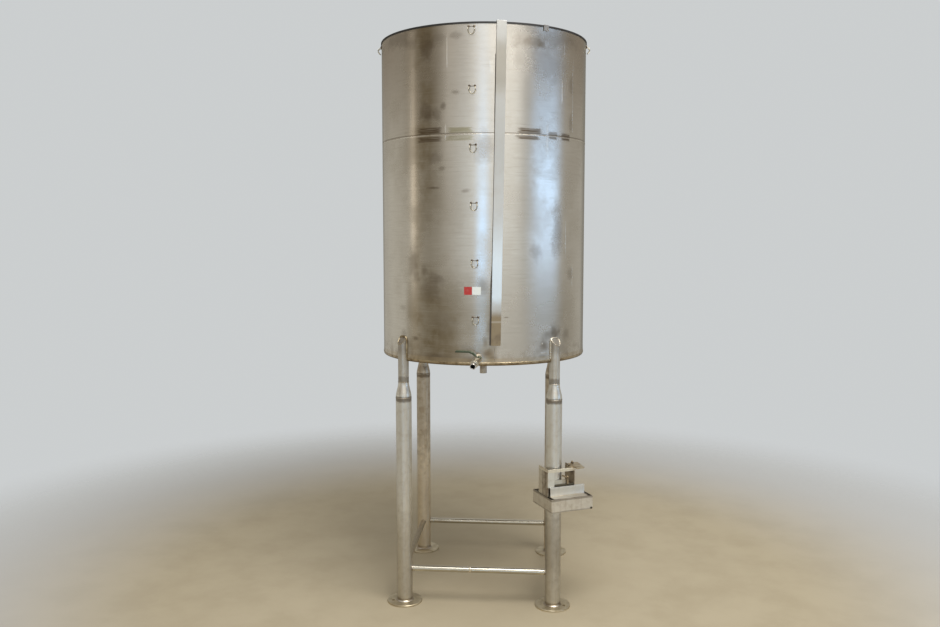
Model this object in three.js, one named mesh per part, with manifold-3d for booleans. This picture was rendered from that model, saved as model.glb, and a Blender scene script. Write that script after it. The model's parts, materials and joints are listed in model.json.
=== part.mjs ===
// Open-topped stainless storage tank on four pipe legs, with a drain valve, a gauge strip,
// tie loops down its front and a steel bracket on its front right leg.
// Millimetres, +Z up. -Y is the drain side. The pieces are placed from the tank's axis, and the
// whole is then moved so that its origin is on the floor, in the middle of its bounding box.
import * as THREE from "three";
import { mergeVertices } from "three/addons/utils/BufferGeometryUtils.js";
import Module from "manifold-3d";

const wasm = await Module();
wasm.setup();

const GAP = 0.3; // running gap between pieces that touch

// Tank body
const SHELL_RADIUS = 600;
const WALL = 3;
const SHELL_BOTTOM = 1400;
const KNUCKLE_RADIUS = 8; // rolled corner between the bottom's skirt and its cone
const SKIRT_HEIGHT = 10; // upright edge of the bottom sheet, under the wall
const LOWER_SHEET = 1219;
const UPPER_SHEET = 576;
const CONE_ANGLE = 8.5;
const SEAM_AZIMUTH = 10; // vertical seam behind the gauge strip, on a corner between two flats
const HALF_FACETS = 36; // flats round half the tank
const SOCKET_RADIUS = 21;
const SOCKET_BORE = 15;
const SOCKET_BOTTOM = 1267;
const TRIM_HEIGHT = 10;
const TRIM_SIDE = 2.5;
const TRIM_TOP = 1.5;

// Things on the wall
const STRIP_WIDTH = 53;
const STRIP_THICKNESS = 5;
const STRIP_BOTTOM = 1511;
const STRIP_AZIMUTH = 11.3;
const STRIP_LEAN = 0.93; // its foot stands this far to the left
const STRIP_HOOK_DROP = 45;
const CLIP_AZIMUTH = 37.2;
const CLIP_WIDTH = 30;
const CLIP_DROP = 28;
const CLIP_THICKNESS = 2;
const LOOP_ROD = 3;
const LOOP_HALF_WELDS = 15;
const LOOP_HALF_WIDTH = 18;
const LOOP_REACH = 20;
const LOOP_DROP = 39;
const LOOP_TOP = 3190;
const LOOP_BOTTOM = 1663;
const LOOP_COUNT = 6;
const LOOP_AZIMUTH_TOP = -2.5;
const LOOP_AZIMUTH_BOTTOM = -0.4;
const LIFTING_LOOPS = { left: -80, right: 87, rear: 183 };
const LABEL_AZIMUTHS = [-6.3, 2.4];
const LABEL_HEIGHTS = [1785, 1828];
const LABEL_THICKNESS = 0.6;

// Legs and rails
const LEG_OFFSET = SHELL_RADIUS / Math.SQRT2; // each leg stands under the wall itself
const LEG_RADIUS = 44.45;
const LEG_WALL = 3.05;
const LEG_TOP = 1190;
const STUB_RADIUS = 30.15;
const STUB_WALL = 2.8;
const REDUCER_LENGTH = 89;
const STUB_TOP = 1532;
const MITRE_SLOPE = 52;
const FOOT_RADIUS = 100;
const FOOT_THICKNESS = 10;
const FOOT_HOLE_RADIUS = 9;
const FOOT_HOLE_CIRCLE = 68;
const FOOT_HOLE_ANGLE = 20;
const RAIL_RADIUS = 16.7;
const RAIL_WALL = 2.8;
const RAIL_HEIGHT = 195;
const ROUND = 20; // facets round a pipe

// Drain valve: its pipe leaves the wall a little downwards and to the left
const DRAIN_FOOT = [12, -600, 1444];
const DRAIN_LEFT = 9.2;
const DRAIN_DOWN = 12.3;
const DRAIN_TILT = 20; // the stem leans to the right
const DRAIN_PIPE_RADIUS = 16.7;
const DRAIN_BORE = 12;
const DRAIN_LENGTH = 135;
const NOZZLE_LENGTH = 40;
const VALVE_LENGTH = 64;
const VALVE_RADIUS = 22;
const VALVE_HEX = 18;
const VALVE_HEX_LENGTH = 12;
const BALL_RADIUS = 16;
const BALL_BORE = 10;
const STEM_RADIUS = 5;
const BONNET_RADIUS = 9;
const BONNET_TOP = 33;
const LEVER_LEVEL = 36;
const LEVER_PLATE = 3;
const LEVER_WIDTH = 16;
const LEVER_TAIL = 24;
const LEVER_REACH = 50;
const LEVER_RISE = 10;
const GRIP_LENGTH = 75;
const GRIP_THICKNESS = 7;
const LEVER_STEP = 12; // the plate starts to rise this far from the stem
const LEVER_SLOPE = 1.6; // and runs this far for each millimetre of rise
const NUT_RADIUS = 9;
const NUT_HEIGHT = 6;

// Bracket on the front right leg, in its own turned frame: X along its front, Y to its back
const BRACKET_TURN = 26;
const BRACKET_PLATE = 6;
const CAGE_LEFT = -63;
const CAGE_RIGHT = 106;
const CAGE_HALF_DEPTH = 60;
const CAGE_FLOOR = 700;
const CAGE_TOP = 808;
const BAR_HEIGHT = 18;
const FRONT_POST = [-65, -24];
const REAR_POST_WIDTH = 18;
const CLAMP_BAR = [-23, 54];
const CLAMP_BAR_TOP = 743;
const EAR_OUTLINE = [[-34, -42], [-11, -62], [-10, -103], [38, -96], [56, 17], [19, 26], [-34, -20]];
const STUD_RADIUS = 5;
const STUD_HEIGHT = 20;
const STUDS = [[-27, -34], [13, 4]]; // from the cage's right side, on the ear
const CHANNEL_LEFT = -52;
const CHANNEL_LENGTH = 213;
const CHANNEL_WALL = 4;
const CHANNEL_WEB = -66;
const CHANNEL_TOP = 708;
const CHANNEL_INSET = 6; // the lower lip ends this far behind the tray's front
const TRAY_LEFT = -68;
const TRAY_RIGHT = 188;
const TRAY_FRONT = -114;
const TRAY_BACK = 122;
const TRAY_BOTTOM = 578;
const TRAY_TOP = 652;
const TRAY_WALL = 3;

const radians = THREE.MathUtils.degToRad;
const KNUCKLE_TOP = SHELL_BOTTOM + KNUCKLE_RADIUS + SKIRT_HEIGHT;
const SEAM_HEIGHT = KNUCKLE_TOP + LOWER_SHEET;
const SHELL_TOP = SEAM_HEIGHT + UPPER_SHEET;
const tank = new THREE.Group();

function steel(color, roughness) {
  return () => new THREE.MeshStandardMaterial({ color, roughness, metalness: 1 });
}
const brushed = steel(0xb9b2a4, 0.32);
const pipeSteel = steel(0xaaa69a, 0.42);
const polished = steel(0xc9c6be, 0.22);
const rusty = steel(0x9a8f7c, 0.6);
const black = () => new THREE.MeshStandardMaterial({ color: 0x16130f, roughness: 0.6 });
const green = () => new THREE.MeshStandardMaterial({ color: 0x3d4a38, roughness: 0.55 });
const paper = () => new THREE.MeshStandardMaterial({ color: 0xe4e0da, roughness: 0.5 });

function add(name, geometry, material, parent = tank) {
  const mesh = new THREE.Mesh(geometry, material());
  mesh.name = name;
  parent.add(mesh);
  return mesh;
}

// A closed geometry as a solid that can be joined or cut.
function solid(geometry) {
  const bare = geometry.clone();
  bare.deleteAttribute("normal");
  bare.deleteAttribute("uv");
  const merged = mergeVertices(bare, 1e-4);
  const mesh = new wasm.Mesh({
    numProp: 3,
    vertProperties: merged.attributes.position.array,
    triVerts: new Uint32Array(merged.index.array),
  });
  return new wasm.Manifold(mesh);
}

function geometryOf(manifold) {
  const mesh = manifold.getMesh();
  const geometry = new THREE.BufferGeometry();
  geometry.setAttribute("position", new THREE.BufferAttribute(mesh.vertProperties, 3));
  geometry.setIndex(new THREE.BufferAttribute(mesh.triVerts, 1));
  return geometry;
}

const cut = (geometry, ...tools) =>
  geometryOf(tools.reduce((left, tool) => left.subtract(solid(tool)), solid(geometry)));
const join = (geometry, ...others) =>
  geometryOf(others.reduce((whole, other) => whole.add(solid(other)), solid(geometry)));

// A closed profile of [radius, height] points turned round the Z axis.
function turned(profile, facets = ROUND) {
  const points = [...profile, profile[0]].map(([r, z]) => new THREE.Vector2(r, z));
  return new THREE.LatheGeometry(points, facets).rotateX(Math.PI / 2);
}

function rod(radius, low, high, facets = ROUND) {
  const middle = (low + high) / 2;
  return new THREE.CylinderGeometry(radius, radius, high - low, facets)
    .rotateX(Math.PI / 2)
    .translate(0, 0, middle);
}

function tube(radius, wall, low, high, facets = ROUND) {
  const inner = radius - wall;
  return turned([[inner, low], [radius, low], [radius, high], [inner, high]], facets);
}

function box(x0, x1, y0, y1, z0, z1) {
  return new THREE.BoxGeometry(x1 - x0, y1 - y0, z1 - z0).translate(
    (x0 + x1) / 2, (y0 + y1) / 2, (z0 + z1) / 2,
  );
}

// Part of a ring between two azimuths; azimuth 0 is the front and 90 is the right side.
function sector(inner, outer, from, to, low, high, segments) {
  const start = radians(from - 90);
  const end = radians(to - 90);
  const shape = new THREE.Shape();
  shape.absarc(0, 0, outer, start, end, false);
  shape.absarc(0, 0, inner, end, start, true);
  const options = { depth: high - low, bevelEnabled: false, curveSegments: segments };
  return new THREE.ExtrudeGeometry(shape, options).translate(0, 0, low);
}

// A side profile of [outward, up] points, as wide as given, stood on the wall at an azimuth.
function standing(profile, width, azimuth) {
  const shape = new THREE.Shape(profile.map(([out, up]) => new THREE.Vector2(out, up)));
  return new THREE.ExtrudeGeometry(shape, { depth: width, bevelEnabled: false })
    .translate(0, 0, -width / 2)
    .rotateX(Math.PI / 2)
    .rotateZ(radians(azimuth - 90));
}

const wallTool = () => rod(SHELL_RADIUS + GAP, SHELL_BOTTOM - 50, SHELL_TOP + 50, 2 * HALF_FACETS);

// Tank body: two courses of two half-round sheets on a shallow cone
function shellCourse(name, low, high) {
  const clearance = (90 * GAP) / (Math.PI * SHELL_RADIUS);
  ["right", "left"].forEach((side, i) => {
    const from = SEAM_AZIMUTH + 180 * i;
    const sheet = sector(
      SHELL_RADIUS - WALL, SHELL_RADIUS, from + clearance, from + 180 - clearance,
      low, high, HALF_FACETS / 2,
    );
    add(`${name}_${side}`, sheet, brushed);
  });
}

// The sheet's section down the skirt, round the knuckle and down the cone to a radius.
function bottomSection(radius, end) {
  const centre = SHELL_RADIUS - KNUCKLE_RADIUS;
  const bend = KNUCKLE_TOP - SKIRT_HEIGHT;
  const corner = [0, 1 / 3, 2 / 3, 1].map((step) => {
    const angle = radians(step * (90 - CONE_ANGLE));
    return [centre + radius * Math.cos(angle), bend - radius * Math.sin(angle)];
  });
  const [r, z] = corner[corner.length - 1];
  const slope = [end, z - (r - end) * Math.tan(radians(CONE_ANGLE))];
  return [[centre + radius, KNUCKLE_TOP], ...corner, slope];
}

function bottomCone() {
  const hole = SOCKET_RADIUS + GAP;
  const outer = bottomSection(KNUCKLE_RADIUS, hole).reverse();
  const inner = bottomSection(KNUCKLE_RADIUS - WALL, hole);
  add("bottom_cone", turned([...outer, ...inner], 2 * HALF_FACETS), brushed);
  const socketTop = inner[inner.length - 1][1];
  const socket = tube(SOCKET_RADIUS, SOCKET_RADIUS - SOCKET_BORE, SOCKET_BOTTOM, socketTop);
  add("outlet_socket", socket, pipeSteel);
}

function rimTrim() {
  const outer = SHELL_RADIUS + GAP + TRIM_SIDE;
  const inner = SHELL_RADIUS - WALL - GAP - TRIM_SIDE;
  const low = SHELL_TOP - TRIM_HEIGHT + TRIM_TOP;
  const roof = SHELL_TOP + GAP;
  const top = roof + TRIM_TOP;
  const profile = [
    [outer, low], [outer, top], [inner, top], [inner, low],
    [inner + TRIM_SIDE, low], [inner + TRIM_SIDE, roof],
    [outer - TRIM_SIDE, roof], [outer - TRIM_SIDE, low],
  ];
  add("rim_trim", turned(profile, 2 * HALF_FACETS), black);
  return { outer, inner: inner * Math.cos(Math.PI / (2 * HALF_FACETS)), top };
}

shellCourse("shell_lower", KNUCKLE_TOP, SEAM_HEIGHT);
shellCourse("shell_upper", SEAM_HEIGHT, SHELL_TOP);
bottomCone();
const rim = rimTrim();

// Gauge strip: a flat bar that hangs on the rim by a hook and leans a little
function gaugeStrip() {
  const back = rim.outer + GAP;
  const front = back + STRIP_THICKNESS;
  const halfRise = (STRIP_WIDTH / 2) * Math.tan(radians(STRIP_LEAN));
  const underHook = rim.top + GAP + halfRise;
  const hookTop = underHook + STRIP_THICKNESS;
  const bow = SHELL_RADIUS - Math.hypot(SHELL_RADIUS, STRIP_WIDTH / 2);
  const hookFace = rim.inner - GAP + bow;
  const hookBack = hookFace - STRIP_THICKNESS;
  const hookLow = hookTop - STRIP_HOOK_DROP;
  const profile = [
    [front, STRIP_BOTTOM], [front, hookTop], [hookBack, hookTop], [hookBack, hookLow],
    [hookFace, hookLow], [hookFace, underHook], [back, underHook], [back, STRIP_BOTTOM],
  ];
  const bar = standing(profile, STRIP_WIDTH, 90);
  const pivot = underHook;
  bar.translate(0, 0, -pivot).rotateX(-radians(STRIP_LEAN)).translate(0, 0, pivot);
  const middleShift = ((pivot - STRIP_BOTTOM) / 2) * Math.tan(radians(STRIP_LEAN));
  const azimuth = STRIP_AZIMUTH + THREE.MathUtils.radToDeg(middleShift / SHELL_RADIUS);
  bar.rotateZ(radians(azimuth - 90));
  add("gauge_strip", bar, brushed);
}

function rimClip() {
  const bow = Math.hypot(rim.outer, CLIP_WIDTH / 2) - rim.outer;
  const face = rim.outer + GAP;
  const back = rim.inner - GAP - bow;
  const under = rim.top + GAP;
  const top = under + CLIP_THICKNESS;
  const foot = under - CLIP_DROP;
  const profile = [
    [face + CLIP_THICKNESS, foot], [face + CLIP_THICKNESS, top], [back - CLIP_THICKNESS, top],
    [back - CLIP_THICKNESS, foot], [back, foot], [back, under], [face, under], [face, foot],
  ];
  add("rim_clip", standing(profile, CLIP_WIDTH, CLIP_AZIMUTH), polished);
}

// A bent rod, welded to the wall at its two upper ends, that droops out and back in.
function tieLoop(name, azimuth, top) {
  const half = [
    [LOOP_HALF_WELDS, -WALL, 0],
    [LOOP_HALF_WELDS + 1, LOOP_REACH * 0.55, -LOOP_DROP * 0.18],
    [LOOP_HALF_WIDTH, LOOP_REACH, -LOOP_DROP * 0.45],
    [LOOP_HALF_WIDTH - 3, LOOP_REACH * 0.7, -LOOP_DROP * 0.76],
    [LOOP_HALF_WIDTH * 0.45, LOOP_REACH * 0.34, -LOOP_DROP * 0.96],
  ];
  const bottom = [0, LOOP_REACH * 0.26, -LOOP_DROP];
  const place = ([side, out, up]) => new THREE.Vector3(side, -SHELL_RADIUS - out, top + up);
  const mirrored = half.map(([side, out, up]) => [-side, out, up]).reverse();
  const path = new THREE.CatmullRomCurve3([...half, bottom, ...mirrored].map(place));
  const section = new THREE.Shape();
  section.absarc(0, 0, LOOP_ROD, 0, 2 * Math.PI, false);
  const options = { steps: 20, curveSegments: 3, extrudePath: path, bevelEnabled: false };
  const bent = new THREE.ExtrudeGeometry(section, options).rotateZ(radians(azimuth));
  add(name, cut(bent, wallTool()), pipeSteel);
}

function label() {
  const inner = SHELL_RADIUS + GAP;
  const [from, to] = LABEL_AZIMUTHS;
  const [low, high] = LABEL_HEIGHTS;
  add("blank_label", sector(inner, inner + LABEL_THICKNESS, from, to, low, high, 6), paper);
}

gaugeStrip();
rimClip();
for (let i = 0; i < LOOP_COUNT; i++) {
  const down = i / (LOOP_COUNT - 1);
  const azimuth = THREE.MathUtils.lerp(LOOP_AZIMUTH_TOP, LOOP_AZIMUTH_BOTTOM, down);
  tieLoop(`tie_loop_${i + 1}`, azimuth, THREE.MathUtils.lerp(LOOP_TOP, LOOP_BOTTOM, down));
}
for (const [side, azimuth] of Object.entries(LIFTING_LOOPS)) {
  tieLoop(`lifting_loop_${side}`, azimuth, LOOP_TOP);
}
label();

// Legs: foot disc, wide pipe, reducer and a narrow stub that is notched round the tank
function tankEnvelope() {
  const under = bottomSection(KNUCKLE_RADIUS + GAP, 0).reverse();
  const outline = [...under, [SHELL_RADIUS + GAP, SHELL_TOP], [0, SHELL_TOP]];
  const points = outline.map(([r, z]) => new THREE.Vector2(r, z));
  return new THREE.LatheGeometry(points, 2 * HALF_FACETS).rotateX(Math.PI / 2);
}

// The stub's mitred top, with the slope facing along +X and its high edge on the pipe's axis.
function stubSolid() {
  const low = LEG_TOP + REDUCER_LENGTH + GAP;
  const slope = Math.tan(radians(MITRE_SLOPE));
  const lid = STUB_WALL / Math.cos(radians(MITRE_SLOPE));
  const reach = 2 * STUB_RADIUS;
  const ceiling = STUB_TOP + 3 * reach;
  const above = (lift) => {
    const corners = [
      [reach, STUB_TOP + lift - reach * slope], [reach, ceiling],
      [-reach, ceiling], [-reach, STUB_TOP + lift + reach * slope],
    ];
    return standing(corners, 2 * reach, 90);
  };
  const outside = solid(rod(STUB_RADIUS, low, STUB_TOP + 0.5 * reach)).subtract(solid(above(0)));
  const hollow = solid(rod(STUB_RADIUS - STUB_WALL, low - 1, STUB_TOP + reach));
  return outside.subtract(hollow.subtract(solid(above(-lid))));
}

const corners = {
  front_left: [-1, -1],
  front_right: [1, -1],
  rear_left: [-1, 1],
  rear_right: [1, 1],
};

function leg(name, [sx, sy]) {
  const x = sx * LEG_OFFSET;
  const y = sy * LEG_OFFSET;
  const stand = new THREE.Group();
  stand.position.set(x, y, 0);
  tank.add(stand);

  const angle = radians(FOOT_HOLE_ANGLE);
  const hole = rod(FOOT_HOLE_RADIUS, -1, FOOT_THICKNESS + 1, 16).translate(
    sx * FOOT_HOLE_CIRCLE * Math.cos(angle), sy * FOOT_HOLE_CIRCLE * Math.sin(angle), 0,
  );
  add(`foot_${name}`, cut(rod(FOOT_RADIUS, 0, FOOT_THICKNESS, 40), hole), pipeSteel, stand);
  add(`leg_${name}`, tube(LEG_RADIUS, LEG_WALL, FOOT_THICKNESS, LEG_TOP), pipeSteel, stand);

  const outer = [];
  const inner = [];
  const steps = 5;
  for (let i = 0; i <= steps; i++) {
    const blend = (1 - Math.cos((Math.PI * i) / steps)) / 2;
    const radius = THREE.MathUtils.lerp(LEG_RADIUS, STUB_RADIUS, blend);
    const height = LEG_TOP + (REDUCER_LENGTH * i) / steps;
    outer.push([radius, height]);
    inner.unshift([radius - LEG_WALL, height]);
  }
  add(`reducer_${name}`, turned([...outer, ...inner]), pipeSteel, stand);

  const facing = THREE.MathUtils.radToDeg(Math.atan2(sy, sx));
  const stub = solid(geometryOf(stubSolid()).rotateZ(radians(facing)).translate(x, y, 0));
  const notched = geometryOf(stub.subtract(solid(tankEnvelope()))).translate(-x, -y, 0);
  add(`stub_${name}`, notched, pipeSteel, stand);
}

for (const [name, signs] of Object.entries(corners)) leg(name, signs);

// Rails between the legs, with ends shaped to the pipes
function rail(name, from, to) {
  const [x0, y0] = corners[from].map((s) => s * LEG_OFFSET);
  const [x1, y1] = corners[to].map((s) => s * LEG_OFFSET);
  const length = Math.hypot(x1 - x0, y1 - y0);
  const pipe = tube(RAIL_RADIUS, RAIL_WALL, -length / 2, length / 2, 20)
    .rotateY(Math.PI / 2)
    .rotateZ(Math.atan2(y1 - y0, x1 - x0))
    .translate((x0 + x1) / 2, (y0 + y1) / 2, RAIL_HEIGHT);
  const ends = [[x0, y0], [x1, y1]].map(([x, y]) =>
    rod(LEG_RADIUS + GAP, RAIL_HEIGHT - 60, RAIL_HEIGHT + 60).translate(x, y, 0),
  );
  add(name, cut(pipe, ...ends), polished);
}

rail("rail_front", "front_left", "front_right");
rail("rail_rear", "rear_left", "rear_right");
rail("rail_left", "front_left", "rear_left");
rail("rail_right", "front_right", "rear_right");

// Drain valve, in a frame whose X is the flow and whose Z is the stem
const left = radians(DRAIN_LEFT);
const down = radians(DRAIN_DOWN);
const flow = new THREE.Vector3(
  -Math.sin(left) * Math.cos(down), -Math.cos(left) * Math.cos(down), -Math.sin(down),
);
const stem = new THREE.Vector3(0, 0, 1).addScaledVector(flow, -flow.z).normalize();
stem.applyAxisAngle(flow, -radians(DRAIN_TILT));
const across = new THREE.Vector3().crossVectors(stem, flow);
const drainFrame = new THREE.Matrix4()
  .makeBasis(flow, across, stem)
  .setPosition(...DRAIN_FOOT);

// A solid of revolution round the flow, between two distances from the wall.
const alongFlow = (geometry) => geometry.rotateY(Math.PI / 2);
const hexagon = (radius, low, high) => rod(radius, low, high, 6);

function drainValve() {
  const drain = new THREE.Group();
  drain.applyMatrix4(drainFrame);
  tank.add(drain);
  const start = NOZZLE_LENGTH + GAP;
  const end = start + VALVE_LENGTH;
  const middle = (start + end) / 2;

  const pipe = alongFlow(tube(DRAIN_PIPE_RADIUS, DRAIN_PIPE_RADIUS - DRAIN_BORE, -20, NOZZLE_LENGTH));
  const nozzle = cut(pipe.applyMatrix4(drainFrame), wallTool());
  add("drain_nozzle", nozzle, pipeSteel);

  const hexEnd = (low) => alongFlow(hexagon(VALVE_HEX / Math.cos(Math.PI / 6), low, low + VALVE_HEX_LENGTH));
  const barrel = alongFlow(rod(VALVE_RADIUS, start + VALVE_HEX_LENGTH - 1, end - VALVE_HEX_LENGTH + 1));
  const bonnet = rod(BONNET_RADIUS, 0, BONNET_TOP, 20).translate(middle, 0, 0);
  const bore = alongFlow(rod(BALL_BORE, start - 1, end + 1));
  const chamber = BALL_RADIUS + GAP;
  const seat = alongFlow(rod(chamber + 1, middle - chamber, middle + chamber));
  const stemHole = rod(STEM_RADIUS + GAP, 0, BONNET_TOP + 1, 20).translate(middle, 0, 0);
  const body = geometryOf(
    [barrel, hexEnd(end - VALVE_HEX_LENGTH), bonnet]
      .reduce((whole, piece) => whole.add(solid(piece)), solid(hexEnd(start)))
      .subtract(solid(bore))
      .subtract(solid(seat))
      .subtract(solid(stemHole)),
  );
  add("drain_valve_body", body, polished, drain);

  const spout = tube(DRAIN_PIPE_RADIUS, DRAIN_PIPE_RADIUS - DRAIN_BORE, end + GAP, DRAIN_LENGTH);
  add("drain_spout", alongFlow(spout), polished, drain);

  const ball = new THREE.SphereGeometry(BALL_RADIUS, 16, 10);
  const port = rod(BALL_BORE, -2 * BALL_RADIUS, 2 * BALL_RADIUS).rotateX(Math.PI / 2);
  const plateTop = LEVER_LEVEL + LEVER_PLATE;
  const shank = rod(STEM_RADIUS, BALL_RADIUS - 2, plateTop + GAP + 1, 20);
  const nut = hexagon(NUT_RADIUS, plateTop + GAP, plateTop + GAP + NUT_HEIGHT);
  const stemPiece = join(cut(ball, port), shank, nut).translate(middle, 0, 0);
  add("drain_valve_stem", stemPiece, polished, drain);

  const bend = radians(DRAIN_TILT);
  const knee = [-LEVER_REACH, LEVER_LEVEL + LEVER_RISE];
  const tip = [knee[0] - GRIP_LENGTH * Math.cos(bend), knee[1] - GRIP_LENGTH * Math.sin(bend)];
  const half = GRIP_THICKNESS / Math.cos(bend) / 2;
  const topStep = -LEVER_STEP;
  const underStep = topStep - GRIP_THICKNESS / 2;
  const run = LEVER_RISE * LEVER_SLOPE;
  const outline = [
    [LEVER_TAIL, LEVER_LEVEL], [LEVER_TAIL, plateTop], [topStep, plateTop],
    [topStep - run, knee[1] + half], [knee[0], knee[1] + half],
    [tip[0], tip[1] + half], [tip[0], tip[1] - half], [knee[0], knee[1] - half],
    [underStep - run, knee[1] - half], [underStep, LEVER_LEVEL],
  ];
  const side = new THREE.Shape(outline.map(([out, up]) => new THREE.Vector2(out, up)));
  const blade = new THREE.ExtrudeGeometry(side, { depth: LEVER_WIDTH, bevelEnabled: false })
    .translate(0, 0, -LEVER_WIDTH / 2)
    .rotateX(Math.PI / 2)
    .rotateZ(Math.PI / 2);
  const eye = rod(STEM_RADIUS + GAP, LEVER_LEVEL - 1, plateTop + 1, 20);
  add("drain_valve_lever", cut(blade, eye).translate(middle, 0, 0), green, drain);
}

drainValve();

// Bracket on the front right leg: an open cage of flat bars on a channel and a tray
function legBracket() {
  const bracket = new THREE.Group();
  bracket.position.set(LEG_OFFSET, -LEG_OFFSET, 0);
  bracket.rotation.z = radians(BRACKET_TURN);
  tank.add(bracket);
  const part = (name, geometry, material = rusty) => add(`bracket_${name}`, geometry, material, bracket);
  // The hole's flats clear the pipe's corners, which the turned frame doesn't line up.
  const holeRadius = (LEG_RADIUS + GAP) / Math.cos(Math.PI / ROUND);
  const legHole = (low, high) => rod(holeRadius, low, high);
  const t = BRACKET_PLATE;
  const inner = CAGE_HALF_DEPTH - t;
  const floorTop = CAGE_FLOOR + t;
  const barLow = CAGE_TOP - BAR_HEIGHT;
  const underBar = barLow - GAP;
  const onTray = TRAY_TOP + GAP;
  const frontFace = -inner - GAP;
  const rearFace = inner + GAP;
  const sideFace = CAGE_LEFT + t;

  const floor = box(sideFace + GAP, CAGE_RIGHT, -inner, inner, CAGE_FLOOR, floorTop);
  part("floor", cut(floor, legHole(CAGE_FLOOR - 1, floorTop + 1)));
  part("front_post", box(...FRONT_POST, frontFace - t, frontFace, CHANNEL_TOP + GAP, underBar));
  const rearFlange = box(CAGE_LEFT, CAGE_LEFT + REAR_POST_WIDTH, rearFace, rearFace + t, onTray, underBar);
  const sideFlange = box(CAGE_LEFT, sideFace, -inner, rearFace + 1, onTray, underBar);
  part("rear_post", join(rearFlange, sideFlange));
  const clampLow = floorTop + GAP;
  part("clamp_bar", box(...CLAMP_BAR, -inner + GAP, -inner + t, clampLow, CLAMP_BAR_TOP));
  part("side_plate", box(CAGE_RIGHT - t, CAGE_RIGHT, -inner, inner, clampLow, CAGE_TOP));
  const frontBar = box(CAGE_LEFT, CAGE_RIGHT, frontFace - t, frontFace, barLow, CAGE_TOP);
  const leftBar = box(CAGE_LEFT, sideFace, frontFace - 1, rearFace + t, barLow, CAGE_TOP);
  part("top_bars", join(frontBar, leftBar));

  const ear = new THREE.Shape(EAR_OUTLINE.map(([x, y]) => new THREE.Vector2(CAGE_RIGHT + x, y)));
  const earPlate = new THREE.ExtrudeGeometry(ear, { depth: t, bevelEnabled: false });
  const studs = STUDS.map(([x, y]) =>
    rod(STUD_RADIUS, 0, STUD_HEIGHT, 12).translate(CAGE_RIGHT + x, y, 0),
  );
  part("ear", join(earPlate, ...studs).translate(0, 0, CAGE_TOP + GAP));

  const c = CHANNEL_WALL;
  const web = CHANNEL_WEB;
  const lipFront = TRAY_FRONT + CHANNEL_INSET;
  const channel = new THREE.Shape([
    [lipFront, onTray], [web + c, onTray], [web + c, CHANNEL_TOP - c],
    [frontFace, CHANNEL_TOP - c], [frontFace, CHANNEL_TOP], [web, CHANNEL_TOP],
    [web, onTray + c], [lipFront, onTray + c],
  ].map(([y, z]) => new THREE.Vector2(y, z)));
  const channelBar = new THREE.ExtrudeGeometry(channel, { depth: CHANNEL_LENGTH, bevelEnabled: false })
    .rotateX(Math.PI / 2)
    .rotateZ(Math.PI / 2)
    .translate(CHANNEL_LEFT, 0, 0);
  part("channel", channelBar, polished);

  const w = TRAY_WALL;
  const block = box(TRAY_LEFT, TRAY_RIGHT, TRAY_FRONT, TRAY_BACK, TRAY_BOTTOM, TRAY_TOP);
  const hollow = box(
    TRAY_LEFT + w, TRAY_RIGHT - w, TRAY_FRONT + w, TRAY_BACK - w, TRAY_BOTTOM + w, TRAY_TOP + 1,
  );
  part("tray", cut(block, hollow, legHole(TRAY_BOTTOM - 1, TRAY_TOP)), pipeSteel);
}

legBracket();

tank.updateMatrixWorld(true);
const middle = new THREE.Box3().setFromObject(tank, true).getCenter(new THREE.Vector3());
tank.position.set(-middle.x, -middle.y, 0);
const part = new THREE.Group();
part.add(tank);

export default part;
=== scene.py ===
# %% [markdown]
# # A stainless storage tank on four pipe legs
# The real object is a tank of thin rolled sheet, about 1.2 metres across, that stands on four pipe
# legs under its wall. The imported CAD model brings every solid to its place, in metres. This lesson
# dresses that model: smooth rolled sheet in place of flat facets, weld beads, heat tint and stains.
# A shape is worked out with numpy as a grid of points, and a finish is worked out with shader nodes.

# %% Load the frame and read the sizes that everything else uses
import json
import math

import bmesh
import bpy
import numpy as np
from mathutils import Matrix, Vector


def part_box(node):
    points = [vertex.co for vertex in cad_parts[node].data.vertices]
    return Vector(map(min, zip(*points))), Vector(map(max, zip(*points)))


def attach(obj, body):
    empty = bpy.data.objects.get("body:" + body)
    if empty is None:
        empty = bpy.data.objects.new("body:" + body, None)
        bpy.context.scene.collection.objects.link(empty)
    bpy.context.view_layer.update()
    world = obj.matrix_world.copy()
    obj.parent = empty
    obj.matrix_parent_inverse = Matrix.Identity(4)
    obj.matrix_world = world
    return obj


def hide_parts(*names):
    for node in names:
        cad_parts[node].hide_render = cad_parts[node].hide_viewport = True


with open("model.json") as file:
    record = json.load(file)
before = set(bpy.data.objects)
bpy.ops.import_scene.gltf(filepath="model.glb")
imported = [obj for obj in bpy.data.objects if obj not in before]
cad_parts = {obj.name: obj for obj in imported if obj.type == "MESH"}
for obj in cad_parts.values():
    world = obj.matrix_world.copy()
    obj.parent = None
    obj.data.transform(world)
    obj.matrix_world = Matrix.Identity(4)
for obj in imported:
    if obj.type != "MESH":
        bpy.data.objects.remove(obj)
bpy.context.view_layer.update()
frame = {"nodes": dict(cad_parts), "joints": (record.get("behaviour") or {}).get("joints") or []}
cad_nodes = frame["nodes"]

TANK = "tank"
LEVER = "lever"
socket_low, socket_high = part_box("outlet_socket")
AXIS_X = (socket_low.x + socket_high.x) / 2
AXIS_Y = (socket_low.y + socket_high.y) / 2
lower_low, lower_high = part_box("shell_lower_right")
RADIUS = lower_high.x - AXIS_X
WALL = 0.003
KNUCKLE_TOP = lower_low.z
SEAM = lower_high.z
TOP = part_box("shell_upper_right")[1].z
AXIS = (AXIS_X, AXIS_Y)
print("tank radius", round(RADIUS, 4), "axis", round(AXIS_X, 4), round(AXIS_Y, 4), "top", round(TOP, 3))

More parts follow.
